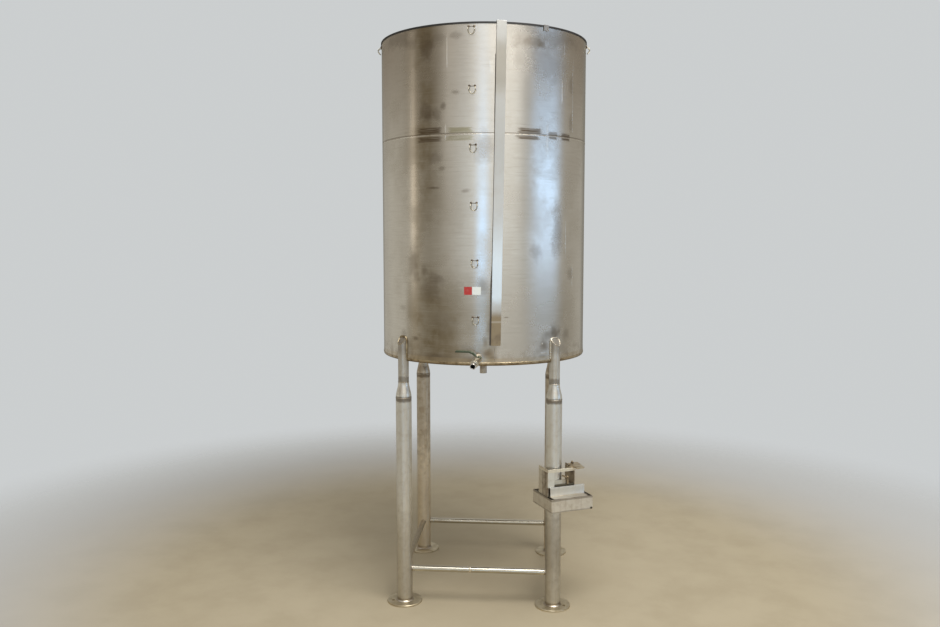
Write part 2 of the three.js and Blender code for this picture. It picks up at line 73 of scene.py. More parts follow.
# %% [markdown]
# ## From grids of points to meshes
# Nearly every piece here is a sheet of points with rows and columns. A wall is such a sheet wrapped
# round an axis, and a pipe is one wrapped round a path. Two neighbouring rows and two neighbouring
# columns make one four-sided face, so a whole mesh comes from one array. Where a grid closes in a
# point, its last row falls on one place, and merging by distance turns those faces into triangles.

# %% Grid faces and the piece maker
SHARP_ANGLE = math.radians(32)
MERGE_DISTANCE = 2e-6


def grid_faces(rows, columns, wrap_rows=False, wrap_columns=True):
    """Corners of the faces between neighbouring rows and columns: (i, j), (i, j+1), (i+1, j+1), (i+1, j)."""
    row = np.arange(rows if wrap_rows else rows - 1)
    column = np.arange(columns if wrap_columns else columns - 1)
    i, j = np.meshgrid(row, column, indexing="ij")
    below, beside = (i + 1) % rows, (j + 1) % columns
    corners = [i * columns + j, i * columns + beside, below * columns + beside, below * columns + j]
    return np.stack(corners, axis=-1).reshape(-1, 4)


def finished_object(name, mesh, work, finish, sharp):
    """The worked mesh as a linked object with one finish, smooth but for edges past the sharp angle."""
    work.to_mesh(mesh)
    work.free()
    mesh.shade_smooth()
    mesh.set_sharp_from_angle(angle=sharp)
    made = bpy.data.objects.new(name, mesh)
    bpy.context.scene.collection.objects.link(made)
    made.data.materials.append(finish)
    return made


def piece_from(name, points, faces, finish, replaces=(), sharp=SHARP_ANGLE):
    """A mesh object at the origin on the tank's body, doubles merged and faces turned outwards."""
    mesh = bpy.data.meshes.new(name)
    mesh.from_pydata(np.asarray(points, float).reshape(-1, 3).tolist(), [], np.asarray(faces).tolist())
    work = bmesh.new()
    work.from_mesh(mesh)
    bmesh.ops.remove_doubles(work, verts=work.verts, dist=MERGE_DISTANCE)
    bmesh.ops.recalc_face_normals(work, faces=work.faces)
    made = finished_object(name, mesh, work, finish, sharp)
    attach(made, TANK)
    if replaces:
        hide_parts(*replaces)
    return made


def joined_grids(grids):
    """Several (points, faces) pairs as one pair, with each grid's corner numbers moved up."""
    points, faces, start = [], [], 0
    for grid_points, grid_face in grids:
        flat = np.asarray(grid_points, float).reshape(-1, 3)
        points.append(flat)
        faces.append(np.asarray(grid_face) + start)
        start += len(flat)
    return np.concatenate(points), np.concatenate(faces)


# %% [markdown]
# ## Turned shapes, swept tubes and refined copies
# A turned shape takes a profile of radius and height round an axis. A swept tube carries a circle
# along a path: at each point the path's direction gives the plane, and a side vector that is carried
# from point to point keeps the circle from twisting. Flat bars are taken from the CAD model instead:
# a copy of the node is merged, its flat triangles are joined, and a small bevel catches the light.


# %% Turned, swept and copied shapes
UP = np.array([0, 0, 1.0])
CAD_MERGE_DISTANCE = 1e-5
FLAT_ANGLE = math.radians(0.6)


def unit(vector):
    """The vector divided by its length."""
    return vector / np.linalg.norm(vector)


def turned(profile, centre=(0.0, 0.0), columns=64, closed=True):
    """Rows of x = cx + r sin a, y = cy - r cos a, z = h for each profile point (r, h) and angle a."""
    profile = np.asarray(profile, float)
    angle = np.linspace(0, 2 * np.pi, columns, endpoint=False)
    radius, height = profile[:, :1], profile[:, 1:]
    x = centre[0] + radius * np.sin(angle)
    y = centre[1] - radius * np.cos(angle)
    z = np.broadcast_to(height, x.shape)
    points = np.stack([x, y, z], axis=-1)
    return points, grid_faces(len(profile), columns, wrap_rows=closed)


def path_frames(path):
    """Direction, side and up of each path point: the side is carried along and made square to the path."""
    path = np.asarray(path, float)
    along = np.gradient(path, axis=0)
    along /= np.linalg.norm(along, axis=1, keepdims=True)
    steep = abs(along[0][2]) >= 0.9
    side = np.cross(along[0], [1.0, 0, 0] if steep else UP)
    sides = []
    for direction in along:
        side = unit(side - direction * np.dot(side, direction))
        sides.append(side)
    sides = np.array(sides)
    return along, sides, np.cross(along, sides)


def swept(path, radius, columns=16):
    """Points at path + r cos t side + r sin t up, with both ends drawn to a point on the path."""
    path = np.asarray(path, float)
    radius = np.broadcast_to(np.asarray(radius, float), (len(path),)).copy()
    _, side, up = path_frames(path)
    path = np.concatenate([path[:1], path, path[-1:]])
    side = np.concatenate([side[:1], side, side[-1:]])
    up = np.concatenate([up[:1], up, up[-1:]])
    radius = np.concatenate([[0.0], radius, [0.0]])
    t = np.linspace(0, 2 * np.pi, columns, endpoint=False)
    spoke = np.cos(t)[None, :, None] * side[:, None] + np.sin(t)[None, :, None] * up[:, None]
    points = path[:, None] + radius[:, None, None] * spoke
    return points, grid_faces(len(path), columns)


def refined_copy(node, name, finish, bevel=0.0, body=TANK):
    """A merged copy of a CAD node, its flat triangles joined, with an optional rounded edge."""
    mesh = bpy.data.meshes.new(name)
    work = bmesh.new()
    work.from_mesh(cad_nodes[node].data)
    bmesh.ops.remove_doubles(work, verts=work.verts, dist=CAD_MERGE_DISTANCE)
    bmesh.ops.dissolve_limit(work, angle_limit=FLAT_ANGLE, verts=work.verts, edges=work.edges)
    made = finished_object(name, mesh, work, finish, SHARP_ANGLE)
    if bevel:
        rounding = made.modifiers.new("rounded_edges", "BEVEL")
        rounding.width = bevel
        rounding.segments = 2
        rounding.limit_method = "ANGLE"
        rounding.angle_limit = SHARP_ANGLE
        rounding.harden_normals = True
    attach(made, body)
    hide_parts(node)
    return made


def on_wall(azimuth, height, out=0.0):
    """The wall's point at an azimuth in degrees, 0 at the front and 90 on the right, lifted outwards."""
    turn = np.radians(azimuth)
    reach = RADIUS + np.asarray(out, float)
    x, y, z = np.broadcast_arrays(AXIS_X + reach * np.sin(turn), AXIS_Y - reach * np.cos(turn), height)
    return np.stack([x, y, z], axis=-1)


def azimuth_of(x, y):
    """The azimuth in degrees of a point in plan, as on_wall takes it."""
    return math.degrees(math.atan2(x - AXIS_X, AXIS_Y - y))


# %% [markdown]
# ## Node helpers
# A material is a small network of nodes. Written one by one, nodes take many lines, so a helper adds
# a node, sets its values and links its inputs in one call. The object's own coordinates drive every
# pattern, so a stain stays where it is on the steel when the camera moves.


# %% A graph helper
class Graph:
    """Adds nodes to one node tree; an input is either a plain value or another node's output socket."""

    def __init__(self, tree):
        self.tree = tree

    def feed(self, node, inputs):
        """Each input by name or number gets its value, or a link from another node's output."""
        for name, value in inputs.items():
            if isinstance(value, bpy.types.NodeSocket):
                self.tree.links.new(value, node.inputs[name])
            else:
                node.inputs[name].default_value = value

    def add(self, kind, inputs=None, **settings):
        """A new node with its settings made first, because they decide which inputs it has."""
        node = self.tree.nodes.new(kind)
        for name, value in settings.items():
            setattr(node, name, value)
        self.feed(node, inputs or {})
        return node

    def math(self, operation, first, second=0.0, clamp=False):
        values = {0: first, 1: second}
        return self.add("ShaderNodeMath", values, operation=operation, use_clamp=clamp).outputs[0]

    def times(self, first, second, clamp=False):
        return self.math("MULTIPLY", first, second, clamp)

    def plus(self, first, second):
        return self.math("ADD", first, second)

    def minus(self, first, second):
        return self.math("SUBTRACT", first, second)

    def apart(self, first, second):
        """The distance between two values."""
        return self.math("ABSOLUTE", self.minus(first, second))

    def vector(self, operation, first, second):
        values = {0: first, 1: second}
        return self.add("ShaderNodeVectorMath", values, operation=operation).outputs[0]

    def noise(self, vector, scale, detail=3.0, rough=0.55):
        values = {"Vector": vector, "Scale": scale, "Detail": detail, "Roughness": rough}
        return self.add("ShaderNodeTexNoise", values).outputs["Fac"]

    def stretch(self, vector, amounts):
        return self.vector("MULTIPLY", vector, amounts)

    def place(self):
        """The object's own coordinates."""
        return self.add("ShaderNodeTexCoord").outputs["Object"]

    def centred(self, place):
        """A place measured from the tank's axis."""
        return self.add("ShaderNodeMapping", {"Vector": place, "Location": (-AXIS_X, -AXIS_Y, 0)}).outputs[0]

    def split(self, vector):
        return self.add("ShaderNodeSeparateXYZ", {0: vector}).outputs

    def azimuth(self, parts):
        """Degrees round the axis from split parts: the arc tangent of x over minus y."""
        back = self.times(parts["Y"], -1.0)
        return self.times(self.math("ARCTAN2", parts["X"], back), 180 / math.pi)

    def length(self, vector):
        return self.add("ShaderNodeVectorMath", {0: vector}, operation="LENGTH").outputs["Value"]

    def bump(self, height, strength, distance):
        values = {"Height": height, "Strength": strength, "Distance": distance}
        return self.add("ShaderNodeBump", values).outputs[0]

    def span(self, value, low, high, to_low=0.0, to_high=1.0):
        """A smooth step from to_low at low to to_high at high."""
        values = {"Value": value, "From Min": low, "From Max": high, "To Min": to_low, "To Max": to_high}
        return self.add("ShaderNodeMapRange", values, interpolation_type="SMOOTHSTEP").outputs[0]

    def mix(self, share, first, second, blend="MIX"):
        """Two colours mixed by a share; the blend may also add them."""
        values = {0: share, 6: first, 7: second}
        return self.add("ShaderNodeMix", values, data_type="RGBA", blend_type=blend).outputs[2]

    def between(self, share, first, second):
        """A plain value that goes from first to second as the share goes from 0 to 1."""
        return self.add("ShaderNodeMix", {0: share, 2: first, 3: second}, data_type="FLOAT").outputs[0]

    def ramp(self, value, stops):
        """A grey ramp through (place, level) stops, the first at place 0 and the last at place 1."""
        node = self.add("ShaderNodeValToRGB", {"Fac": value})
        elements = node.color_ramp.elements
        for element, (_, level) in zip((elements[0], elements[1]), (stops[0], stops[-1])):
            element.color = (level, level, level, 1)
        for place, level in stops[1:-1]:
            elements.new(place).color = (level, level, level, 1)
        return node.outputs["Color"]


def colour(red, green, blue):
    return (red, green, blue, 1.0)


def new_material(name):
    """A material with one Principled shader, and the graph helper for its tree."""
    made = bpy.data.materials.new(name)
    made.use_nodes = True
    graph = Graph(made.node_tree)
    shader = made.node_tree.nodes["Principled BSDF"]
    return made, graph, shader


def link(graph, shader, **sockets):
    for name, value in sockets.items():
        graph.tree.links.new(value, shader.inputs[name.replace("_", " ")])


def new_group(name, inputs, outputs):
    """An empty node group with named value or vector sockets, its graph and its two ends."""
    tree = bpy.data.node_groups.new(name, "ShaderNodeTree")
    kinds = {"value": "NodeSocketFloat", "vector": "NodeSocketVector"}
    for socket_name, kind in inputs:
        tree.interface.new_socket(name=socket_name, in_out="INPUT", socket_type=kinds[kind])
    for socket_name, kind in outputs:
        tree.interface.new_socket(name=socket_name, in_out="OUTPUT", socket_type=kinds[kind])
    graph = Graph(tree)
    start = tree.nodes.new("NodeGroupInput")
    end = tree.nodes.new("NodeGroupOutput")
    return tree, graph, start.outputs, end.inputs


def placed(graph, group, inputs):
    """One use of a node group inside a material."""
    return graph.add("ShaderNodeGroup", inputs, node_tree=group).outputs


def clouds(graph, group, place, scale, low, high):
    """The mask of blotches or streaks at a place: larger scales make them smaller."""
    return placed(graph, group, {"Place": place, "Scale": scale, "Low": low, "High": high})["Mask"]


# %% [markdown]
# ## Shared effects
# Five effects come back in several finishes. Brushed grain is fine noise pressed flat in height, so
# that it runs round the tank. A stain is a soft ellipse and a bar tint a soft rectangle, and both get
# a broken edge from a noise that the material works out once. Blotches are slow, cloudy differences.
# Streaks are noise drawn out in height, as runs of dirty water are.


# %% Node groups for grain, stains, bar tints, blotches and streaks
def grain_group():
    sockets = [("Place", "vector"), ("Fineness", "value")]
    tree, graph, start, end = new_group("brushed_grain", sockets, [("Height", "value")])
    lines = graph.stretch(start["Place"], (0.02, 0.02, 1.0))
    fine = graph.noise(lines, start["Fineness"], 4.0, 0.6)
    coarse = graph.noise(lines, graph.times(start["Fineness"], 0.22), 2.0)
    graph.tree.links.new(graph.plus(graph.times(coarse, 0.5), fine), end["Height"])
    return tree


PATCH_SOCKETS = [
    ("Place", "vector"), ("Centre", "vector"), ("Size", "vector"), ("Broken", "value"), ("Soft", "value"),
]


def patch_group(name, round_):
    """Mask of a patch: the offset in half sizes, its length or larger part, plus Broken, faded at one."""
    tree, graph, start, end = new_group(name, PATCH_SOCKETS, [("Mask", "value")])
    offset = graph.vector("DIVIDE", graph.vector("SUBTRACT", start["Place"], start["Centre"]), start["Size"])
    if round_:
        distance = graph.length(offset)
    else:
        parts = graph.split(offset)
        across, upright = graph.math("ABSOLUTE", parts["X"]), graph.math("ABSOLUTE", parts["Y"])
        distance = graph.math("MAXIMUM", across, upright)
    distance = graph.plus(distance, start["Broken"])
    inside = graph.minus(1.0, start["Soft"])
    graph.tree.links.new(graph.span(distance, inside, 1.0, 1.0, 0.0), end["Mask"])
    return tree


def cloud_group(name, drawn):
    """A noise whose place is first stretched, cut to a mask between Low and High."""
    sockets = [("Place", "vector"), ("Scale", "value"), ("Low", "value"), ("High", "value")]
    tree, graph, start, end = new_group(name, sockets, [("Mask", "value")])
    cloud = graph.noise(graph.stretch(start["Place"], drawn), start["Scale"], 5.0, 0.6)
    graph.tree.links.new(graph.span(cloud, start["Low"], start["High"]), end["Mask"])
    return tree


GRAIN = grain_group()
STAIN = patch_group("stain", True)
BAR_TINT = patch_group("bar_tint", False)
BLOTCHES = cloud_group("blotches", (1.0, 1.0, 1.0))
STREAKS = cloud_group("streaks", (1.0, 1.0, 0.09))
print("node groups", [group.name for group in bpy.data.node_groups])

# %% [markdown]
# ## Rolled sheet
# The wall is bare stainless sheet. It is warm grey, brushed round the tank, and it has kept the
# history of its making: a brown film on the front left with a sharp left edge, brown and olive heat
# tint beside the girth weld, scuffs, thin creases, and a dirty golden band round the rolled lower
# corner. The film's colour is partly real film and partly painted reflection: it also darkens the
# wall where the room's dark bands would be reflected. Each crease carries a painted highlight, and
# the two wide marks just under the rim are painted shade. The azimuth and the height of a point come
# from its object coordinates, so each mark has a fixed place on the wall. The film is a ramp round
# the tank, and three ramps share the height.

# %% The wall's colours and marks
STEEL = colour(0.68, 0.655, 0.605)
FILM = colour(0.24, 0.19, 0.112)
TINT_BROWN = colour(0.13, 0.095, 0.06)
TINT_OLIVE = colour(0.36, 0.335, 0.20)
DIRT = colour(0.20, 0.15, 0.09)
GOLD = colour(0.50, 0.40, 0.255)
PALE_METAL = colour(0.86, 0.84, 0.79)

# Film on the rolled sheet at three heights, partly real film and partly painted dark reflection of the room:
# (azimuth in degrees, strength) round the tank.
FILM_HIGH = [
    (-180, 0.3), (-90, 0.25), (-60, 0.1), (-45, 0.14), (-40, 0.3), (-35.6, 0.32), (-34.0, 0.55), (-30, 0.78),
    (-25, 0.73), (-20, 0.28), (-16.0, 0.06), (-14.8, 0.0), (-6, 0.0), (12, 0.0), (17, 0.06), (26, 0.0),
    (33, 0.14), (45, 0.08), (52, 0.02), (56, 0.04), (60, 0.03), (64, 0.06), (72, 0.2), (140, 0.35),
    (180, 0.3),
]
FILM_MIDDLE = [
    (-180, 0.2), (-120, 0.1), (-60, 0.04), (-45, 0.14), (-36, 0.2), (-34.2, 0.5), (-30, 0.56),
    (-25, 0.55), (-21, 0.40), (-17, 0.22), (-13, 0.06), (-7, 0.0), (0, 0.0), (7, 0.1), (12, 0.0),
    (17, 0.07), (25, 0.04), (32, 0.0), (47, 0.05), (53, 0.15), (58, 0.12), (66, 0.1), (76, 0.08),
    (82, 0.24), (100, 0.05), (150, 0.25), (180, 0.2),
]
FILM_LOW = [
    (-180, 0.3), (-120, 0.15), (-60, 0.05), (-44, 0.08), (-40, 0.56), (-34, 0.72), (-30, 0.84),
    (-25, 0.94), (-20, 0.88), (-15, 0.74), (-10, 0.66), (-6, 0.5), (0, 0.46), (4, 0.60), (7, 0.74),
    (10, 0.5), (12, 0.14), (17, 0.20), (24, 0.14), (30, 0.24), (36, 0.32), (42, 0.36), (50, 0.40),
    (58, 0.28), (66, 0.12), (76, 0.08), (82, 0.36), (100, 0.1), (150, 0.35), (180, 0.3),
]
# Heat tint bars at the girth weld: azimuth, half width, middle above the weld, half height, tint, strength.
SEAM_TINTS = [
    (-25.6, 0.083, 0.024, 0.019, TINT_BROWN, 0.95), (-25.8, 0.084, -0.022, 0.016, TINT_BROWN, 0.85),
    (-8.4, 0.077, 0.021, 0.018, TINT_OLIVE, 0.75), (-8.8, 0.080, -0.019, 0.015, TINT_OLIVE, 0.7),
    (28.0, 0.078, 0.021, 0.017, TINT_BROWN, 0.95), (27.0, 0.078, -0.015, 0.012, TINT_BROWN, 0.85),
    (42.6, 0.036, 0.002, 0.023, TINT_BROWN, 0.8), (52.6, 0.046, 0.002, 0.023, TINT_BROWN, 0.85),
    (-110.0, 0.20, 0.018, 0.014, TINT_OLIVE, 0.7), (120.0, 0.16, -0.018, 0.014, TINT_BROWN, 0.7),
    (165.0, 0.12, 0.018, 0.016, TINT_OLIVE, 0.7), (-160.0, 0.10, 0.018, 0.014, TINT_BROWN, 0.7),
]
# Single marks on the wall, stains but for the two wide ones just under the rim at -48 and 46 degrees, which
# are painted shade: azimuth, height, half width, half height, strength.
WALL_MARKS = [
    (-10.9, 2.856, 0.036, 0.015, 0.4), (-17.4, 2.787, 0.026, 0.026, 0.5), (-5.7, 2.338, 0.034, 0.016, 0.35),
    (-23.2, 2.357, 0.050, 0.009, 0.6), (-10.5, 3.150, 0.050, 0.028, 0.3), (-27.0, 3.10, 0.060, 0.10, 0.56),
    (-27.5, 2.76, 0.060, 0.07, 0.52), (4.0, 2.56, 0.075, 0.12, 0.30), (-26.0, 2.73, 0.050, 0.04, 0.4),
    (-22.0, 2.52, 0.060, 0.05, 0.35), (-18.0, 2.46, 0.030, 0.020, 0.35), (35.0, 3.115, 0.034, 0.040, 0.5),
    (22.0, 3.03, 0.040, 0.08, 0.2), (57.0, 2.93, 0.030, 0.07, 0.3), (57.0, 2.72, 0.030, 0.06, 0.3),
    (-29.0, 1.905, 0.034, 0.05, 0.4), (-21.0, 1.86, 0.080, 0.05, 0.3), (-24.0, 1.81, 0.095, 0.11, 0.34),
    (-18.0, 1.62, 0.12, 0.10, 0.2), (7.4, 1.600, 0.034, 0.085, 0.4), (6.0, 1.468, 0.050, 0.030, 0.6),
    (8.8, 1.440, 0.034, 0.022, 0.5), (-22.0, 1.440, 0.10, 0.030, 0.5), (-3.0, 1.425, 0.08, 0.040, 0.65),
    (15.6, 1.663, 0.022, 0.005, 0.6), (36.5, 1.496, 0.038, 0.040, 0.5), (-35.0, 1.535, 0.030, 0.016, 0.5),
    (36.5, 1.440, 0.040, 0.016, 0.4), (45.0, 1.575, 0.055, 0.055, 0.5), (54.0, 1.55, 0.045, 0.06, 0.35),
    (58.0, 1.89, 0.05, 0.05, 0.3), (-45.0, 1.555, 0.040, 0.035, 0.3), (38.5, 1.50, 0.030, 0.05, 0.35),
    (-48.0, 3.175, 0.24, 0.065, 0.42), (46.0, 3.16, 0.28, 0.08, 0.34), (-45.0, 1.70, 0.05, 0.02, 0.2),
    (-38.0, 3.13, 0.09, 0.05, 0.25), (-20.0, 3.14, 0.06, 0.05, 0.25), (-78.0, 3.14, 0.16, 0.07, 0.3),
    (24.0, 3.14, 0.10, 0.07, 0.25), (40.0, 3.00, 0.18, 0.14, 0.26), (43.0, 1.555, 0.090, 0.048, 0.45),
    (4.6, 1.53, 0.022, 0.05, 0.4), (29.0, 3.118, 0.12, 0.045, 0.5), (46.5, 2.13, 0.06, 0.22, 0.34),
    (-36.0, 1.93, 0.06, 0.14, 0.38), (3.2, 1.84, 0.05, 0.07, 0.4), (-21.0, 2.74, 0.035, 0.05, 0.35),
    (32.5, 2.01, 0.06, 0.07, 0.28), (150.0, 2.2, 0.16, 0.20, 0.3), (-140.0, 1.8, 0.20, 0.14, 0.3),
    (100.0, 2.8, 0.12, 0.10, 0.25), (135.0, 1.55, 0.06, 0.06, 0.5), (-135.0, 1.55, 0.06, 0.06, 0.5),
]
# Thin creases, each a raised ridge with a painted highlight of pale metal along it: azimuth, lower and upper
# end, half width, strength.
CREASES = [
    (-15.4, 2.95, 3.175, 0.0035, 0.5), (-37.6, 2.68, 2.87, 0.006, 0.25), (-16.4, 2.60, 2.70, 0.004, 0.4),
    (49.4, 2.81, 2.97, 0.0065, 0.9), (38.8, 2.50, 2.74, 0.004, 0.5), (51.0, 3.07, 3.16, 0.004, 0.45),
    (59.2, 2.62, 3.15, 0.003, 0.4), (7.6, 2.94, 3.03, 0.012, 0.3), (170.0, 2.70, 3.10, 0.004, 0.4),
    (53.5, 1.95, 2.20, 0.003, 0.3), (36.4, 1.505, 1.516, 0.006, 0.9), (37.5, 1.452, 1.464, 0.026, 0.5),
    (60.5, 1.80, 1.95, 0.004, 0.5),
]
# The heights between which the film passes from the low ramp to the middle one, and on to the high one.
FILM_LOW_FADE = (1.68, 1.95)
FILM_HIGH_FADE = (2.25, 2.62)
# Relief in metres: the brushed lines, the sheet's slow unevenness and a full-strength crease.
GRAIN_DEPTH = 0.00003
DENT_DEPTH = 0.0022
CREASE_HEIGHT = 0.0011
print("marks", len(SEAM_TINTS), "at the weld,", len(WALL_MARKS), "on the sheet,", len(CREASES), "creases")


# %% The wall's finish
def shell_steel():
    """Rolled sheet: steel, film and painted dark reflection by azimuth and height, seam tint, stains and
    painted shade under the rim, creases with painted highlights, dirt low down.
    """
    made, graph, shader = new_material("rolled_sheet")
    place = graph.place()
    centred = graph.centred(place)
    split = graph.split(centred)
    azimuth = graph.azimuth(split)
    arc = graph.times(azimuth, RADIUS * math.pi / 180)
    unrolled = graph.add("ShaderNodeCombineXYZ", {"X": arc, "Y": split["Z"]}).outputs[0]

    cloud = clouds(graph, BLOTCHES, centred, 5.0, 0.35, 0.7)
    drawn_round = graph.stretch(centred, (8.0, 8.0, 150.0))
    combed = graph.minus(graph.noise(drawn_round, 1.0, 4.0, 0.6), 0.5)
    mottle = graph.minus(graph.noise(centred, 26.0, 5.0), 0.5)
    upright = graph.minus(graph.noise(graph.stretch(centred, (14.0, 14.0, 1.6)), 1.0, 4.0), 0.5)

    ragged = graph.plus(azimuth, graph.times(upright, 3.0))
    turn = graph.math("DIVIDE", graph.plus(ragged, 180.0), 360.0)
    uneven = graph.plus(split["Z"], graph.times(graph.minus(cloud, 0.5), 0.16))
    # The film ramps are partly real film and partly painted dark reflection of the room.
    bands = [graph.ramp(turn, [((d + 180) / 360, level) for d, level in stops])
             for stops in (FILM_HIGH, FILM_MIDDLE, FILM_LOW)]
    film = graph.between(graph.span(uneven, *FILM_HIGH_FADE), bands[1], bands[0])
    film = graph.between(graph.span(uneven, *FILM_LOW_FADE, 1.0, 0.0), film, bands[2])
    film = graph.times(film, graph.span(cloud, 0.0, 1.0, 0.85, 1.15), clamp=True)
    tone = graph.mix(film, STEEL, FILM)
    tone = graph.mix(graph.times(cloud, 0.09), tone, FILM)
    tone = graph.mix(graph.span(combed, 0.0, 0.35, 0.0, 0.20), tone, FILM)
    tone = graph.mix(graph.span(combed, -0.35, 0.0, 0.18, 0.0), tone, PALE_METAL)
    worn = graph.times(film, 0.08)

    def mark(group, degrees, height, half_width, half_height, broken, soft):
        """The mask of one patch group on the unrolled wall, centred at an azimuth and a height."""
        centre = (math.radians(degrees) * RADIUS, height, 0)
        values = {"Place": unrolled, "Centre": centre, "Size": (half_width, half_height, 1)}
        return placed(graph, group, values | {"Broken": broken, "Soft": soft})["Mask"]

    streak = graph.span(combed, -0.22, 0.1, 0.45, 1.0)
    broken = graph.times(combed, 1.3)
    for degrees, half_width, above, half_height, tint, strength in SEAM_TINTS:
        share = mark(BAR_TINT, degrees, SEAM + above, half_width, half_height, broken, 0.35)
        share = graph.times(graph.times(share, streak), strength)
        tone = graph.mix(share, tone, tint)
        worn = graph.plus(worn, graph.times(share, 0.1))
    broken = graph.times(mottle, 1.2)
    # Stains, and under the rim at -48 and 46 degrees painted shade.
    for degrees, height, half_width, half_height, strength in WALL_MARKS:
        share = mark(STAIN, degrees, height, half_width, half_height, broken, 0.85)
        share = graph.times(share, strength)
        tone = graph.mix(share, tone, TINT_BROWN)
        worn = graph.plus(worn, graph.times(share, 0.12))
    ridge = 0.0
    broken = graph.times(mottle, 0.8)
    # Each crease: a ridge in the bump and a painted highlight in pale metal.
    for degrees, low, high, half_width, strength in CREASES:
        share = mark(BAR_TINT, degrees, (low + high) / 2, half_width, (high - low) / 2, broken, 0.6)
        share = graph.times(share, strength)
        tone = graph.mix(share, tone, PALE_METAL)
        ridge = graph.plus(ridge, share)

    from_seam = graph.minus(split["Z"], SEAM)
    dark_line = graph.apart(from_seam, 0.0055)
    tone = graph.mix(graph.span(dark_line, 0.001, 0.0045, 0.6, 0.0), tone, TINT_BROWN)
    pale_line = graph.math("ABSOLUTE", graph.plus(from_seam, 0.001))
    tone = graph.mix(graph.span(pale_line, 0.002, 0.0045, 0.55, 0.0), tone, PALE_METAL)

    band = graph.span(split["Z"], KNUCKLE_TOP + 0.018, KNUCKLE_TOP + 0.026, 0.5, 0.0)
    band = graph.times(band, graph.span(upright, -0.2, 0.2, 0.5, 1.0))
    tone = graph.mix(band, tone, GOLD)
    low = graph.span(split["Z"], KNUCKLE_TOP + 0.004, KNUCKLE_TOP + 0.13, 1.0, 0.0)
    splash = graph.times(low, graph.span(mottle, -0.15, 0.25))
    tone = graph.mix(graph.times(splash, 0.45), tone, DIRT)
    corner = graph.span(split["Z"], KNUCKLE_TOP - 0.001, KNUCKLE_TOP + 0.002, 1.0, 0.0)
    gold = graph.mix(graph.span(mottle, -0.1, 0.15), GOLD, DIRT)
    tone = graph.mix(graph.times(corner, 0.9), tone, gold)
    tone = graph.mix(graph.span(split["Z"], KNUCKLE_TOP - 0.012, KNUCKLE_TOP - 0.005, 0.8, 0.0), tone, DIRT)

    grain = placed(graph, GRAIN, {"Place": centred, "Fineness": 420.0})["Height"]
    dent = graph.noise(graph.stretch(centred, (1.0, 1.0, 0.3)), 3.4, 0.0)
    height = graph.plus(graph.times(grain, GRAIN_DEPTH), graph.times(dent, DENT_DEPTH))
    height = graph.plus(height, graph.times(ridge, CREASE_HEIGHT))
    bump = graph.bump(height, 1.0, 1.0)
    rough = graph.plus(graph.span(cloud, 0.0, 1.0, 0.22, 0.27), worn)
    rough = graph.plus(rough, graph.times(splash, 0.12))
    link(graph, shader, Base_Color=tone, Roughness=rough, Normal=bump)
    shader.inputs["Metallic"].default_value = 1.0
    shader.inputs["Anisotropic"].default_value = 0.6
    shader.inputs["Anisotropic Rotation"].default_value = 0.25
    return made


ROLLED_SHEET = shell_steel()
print("nodes in the wall's finish", len(ROLLED_SHEET.node_tree.nodes))

# %% [markdown]
# ## Pipe, bar and other finishes
# The legs are pickled pipe: duller than the wall, with brown rings at each weld. The front right one
# is browner round and below its tray, where the tray's shadow is painted on, and the rear ones are
# brown above and, by painted light, paler towards the floor.
# The spout is polished, the valve a little stained, the rails in front and behind are smooth, and the
# side rails are dull. The bracket's bars go from pale bar to brown plate. One function makes all the
# bare steel finishes from a few values, so the family looks related, and the trim, the grip and the
# label have their own.


# %% Steel for pipes and bars
def bare_steel(
    name, tone, stain, rough, blotchy=0.5, streaky=0.3, spread=0.12, tints=(), specks=0.4, grained=0.12,
):
    """Steel with clouds, runs and specks of stain; tints are rings of height, reach, strength and tint."""
    made, graph, shader = new_material(name)
    tone, stain = colour(*tone), colour(*stain)
    place = graph.place()
    height = graph.split(place)["Z"]
    cloud = clouds(graph, BLOTCHES, place, 22.0, 0.42, 0.72)
    run = clouds(graph, STREAKS, place, 60.0, 0.5, 0.75)
    speck = clouds(graph, BLOTCHES, place, 150.0, 0.68, 0.76)
    mixed = graph.mix(graph.times(cloud, blotchy), tone, stain)
    mixed = graph.mix(graph.times(run, streaky), mixed, stain)
    mixed = graph.mix(graph.times(speck, specks), mixed, DIRT)
    broken = graph.minus(graph.noise(place, 30.0, 3.0), 0.5)
    for level, reach, strength, tint in tints:
        away = graph.apart(height, level)
        away = graph.plus(away, graph.times(broken, reach))
        mixed = graph.mix(graph.span(away, 0.4 * reach, reach, strength, 0.0), mixed, tint)
    grain = graph.noise(graph.stretch(place, (1.0, 1.0, 0.3)), 140.0, 2.0)
    bump = graph.bump(grain, grained, 0.0004)
    dull = graph.plus(graph.times(cloud, spread), rough)
    link(graph, shader, Base_Color=mixed, Roughness=dull, Normal=bump)
    shader.inputs["Metallic"].default_value = 1.0
    return made


LEG_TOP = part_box("leg_front_left")[1].z
REDUCER_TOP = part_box("reducer_front_left")[1].z
TRAY_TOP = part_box("bracket_tray")[1].z
WELD_RINGS = [
    (LEG_TOP - 0.006, 0.020, 0.75, TINT_BROWN), (REDUCER_TOP + 0.016, 0.024, 0.6, TINT_BROWN),
    (1.49, 0.06, 0.35, TINT_BROWN), (0.016, 0.018, 0.5, DIRT), (0.15, 0.45, 0.22, TINT_BROWN),
]
PALE_PIPE = colour(0.94, 0.85, 0.69)
PICKLED_PIPE = bare_steel(
    "pickled_pipe", (0.68, 0.66, 0.60), (0.44, 0.385, 0.295), 0.36, 0.35, 0.35, 0.08,
    [*WELD_RINGS, (1.42, 0.14, 0.30, TINT_BROWN)],
)
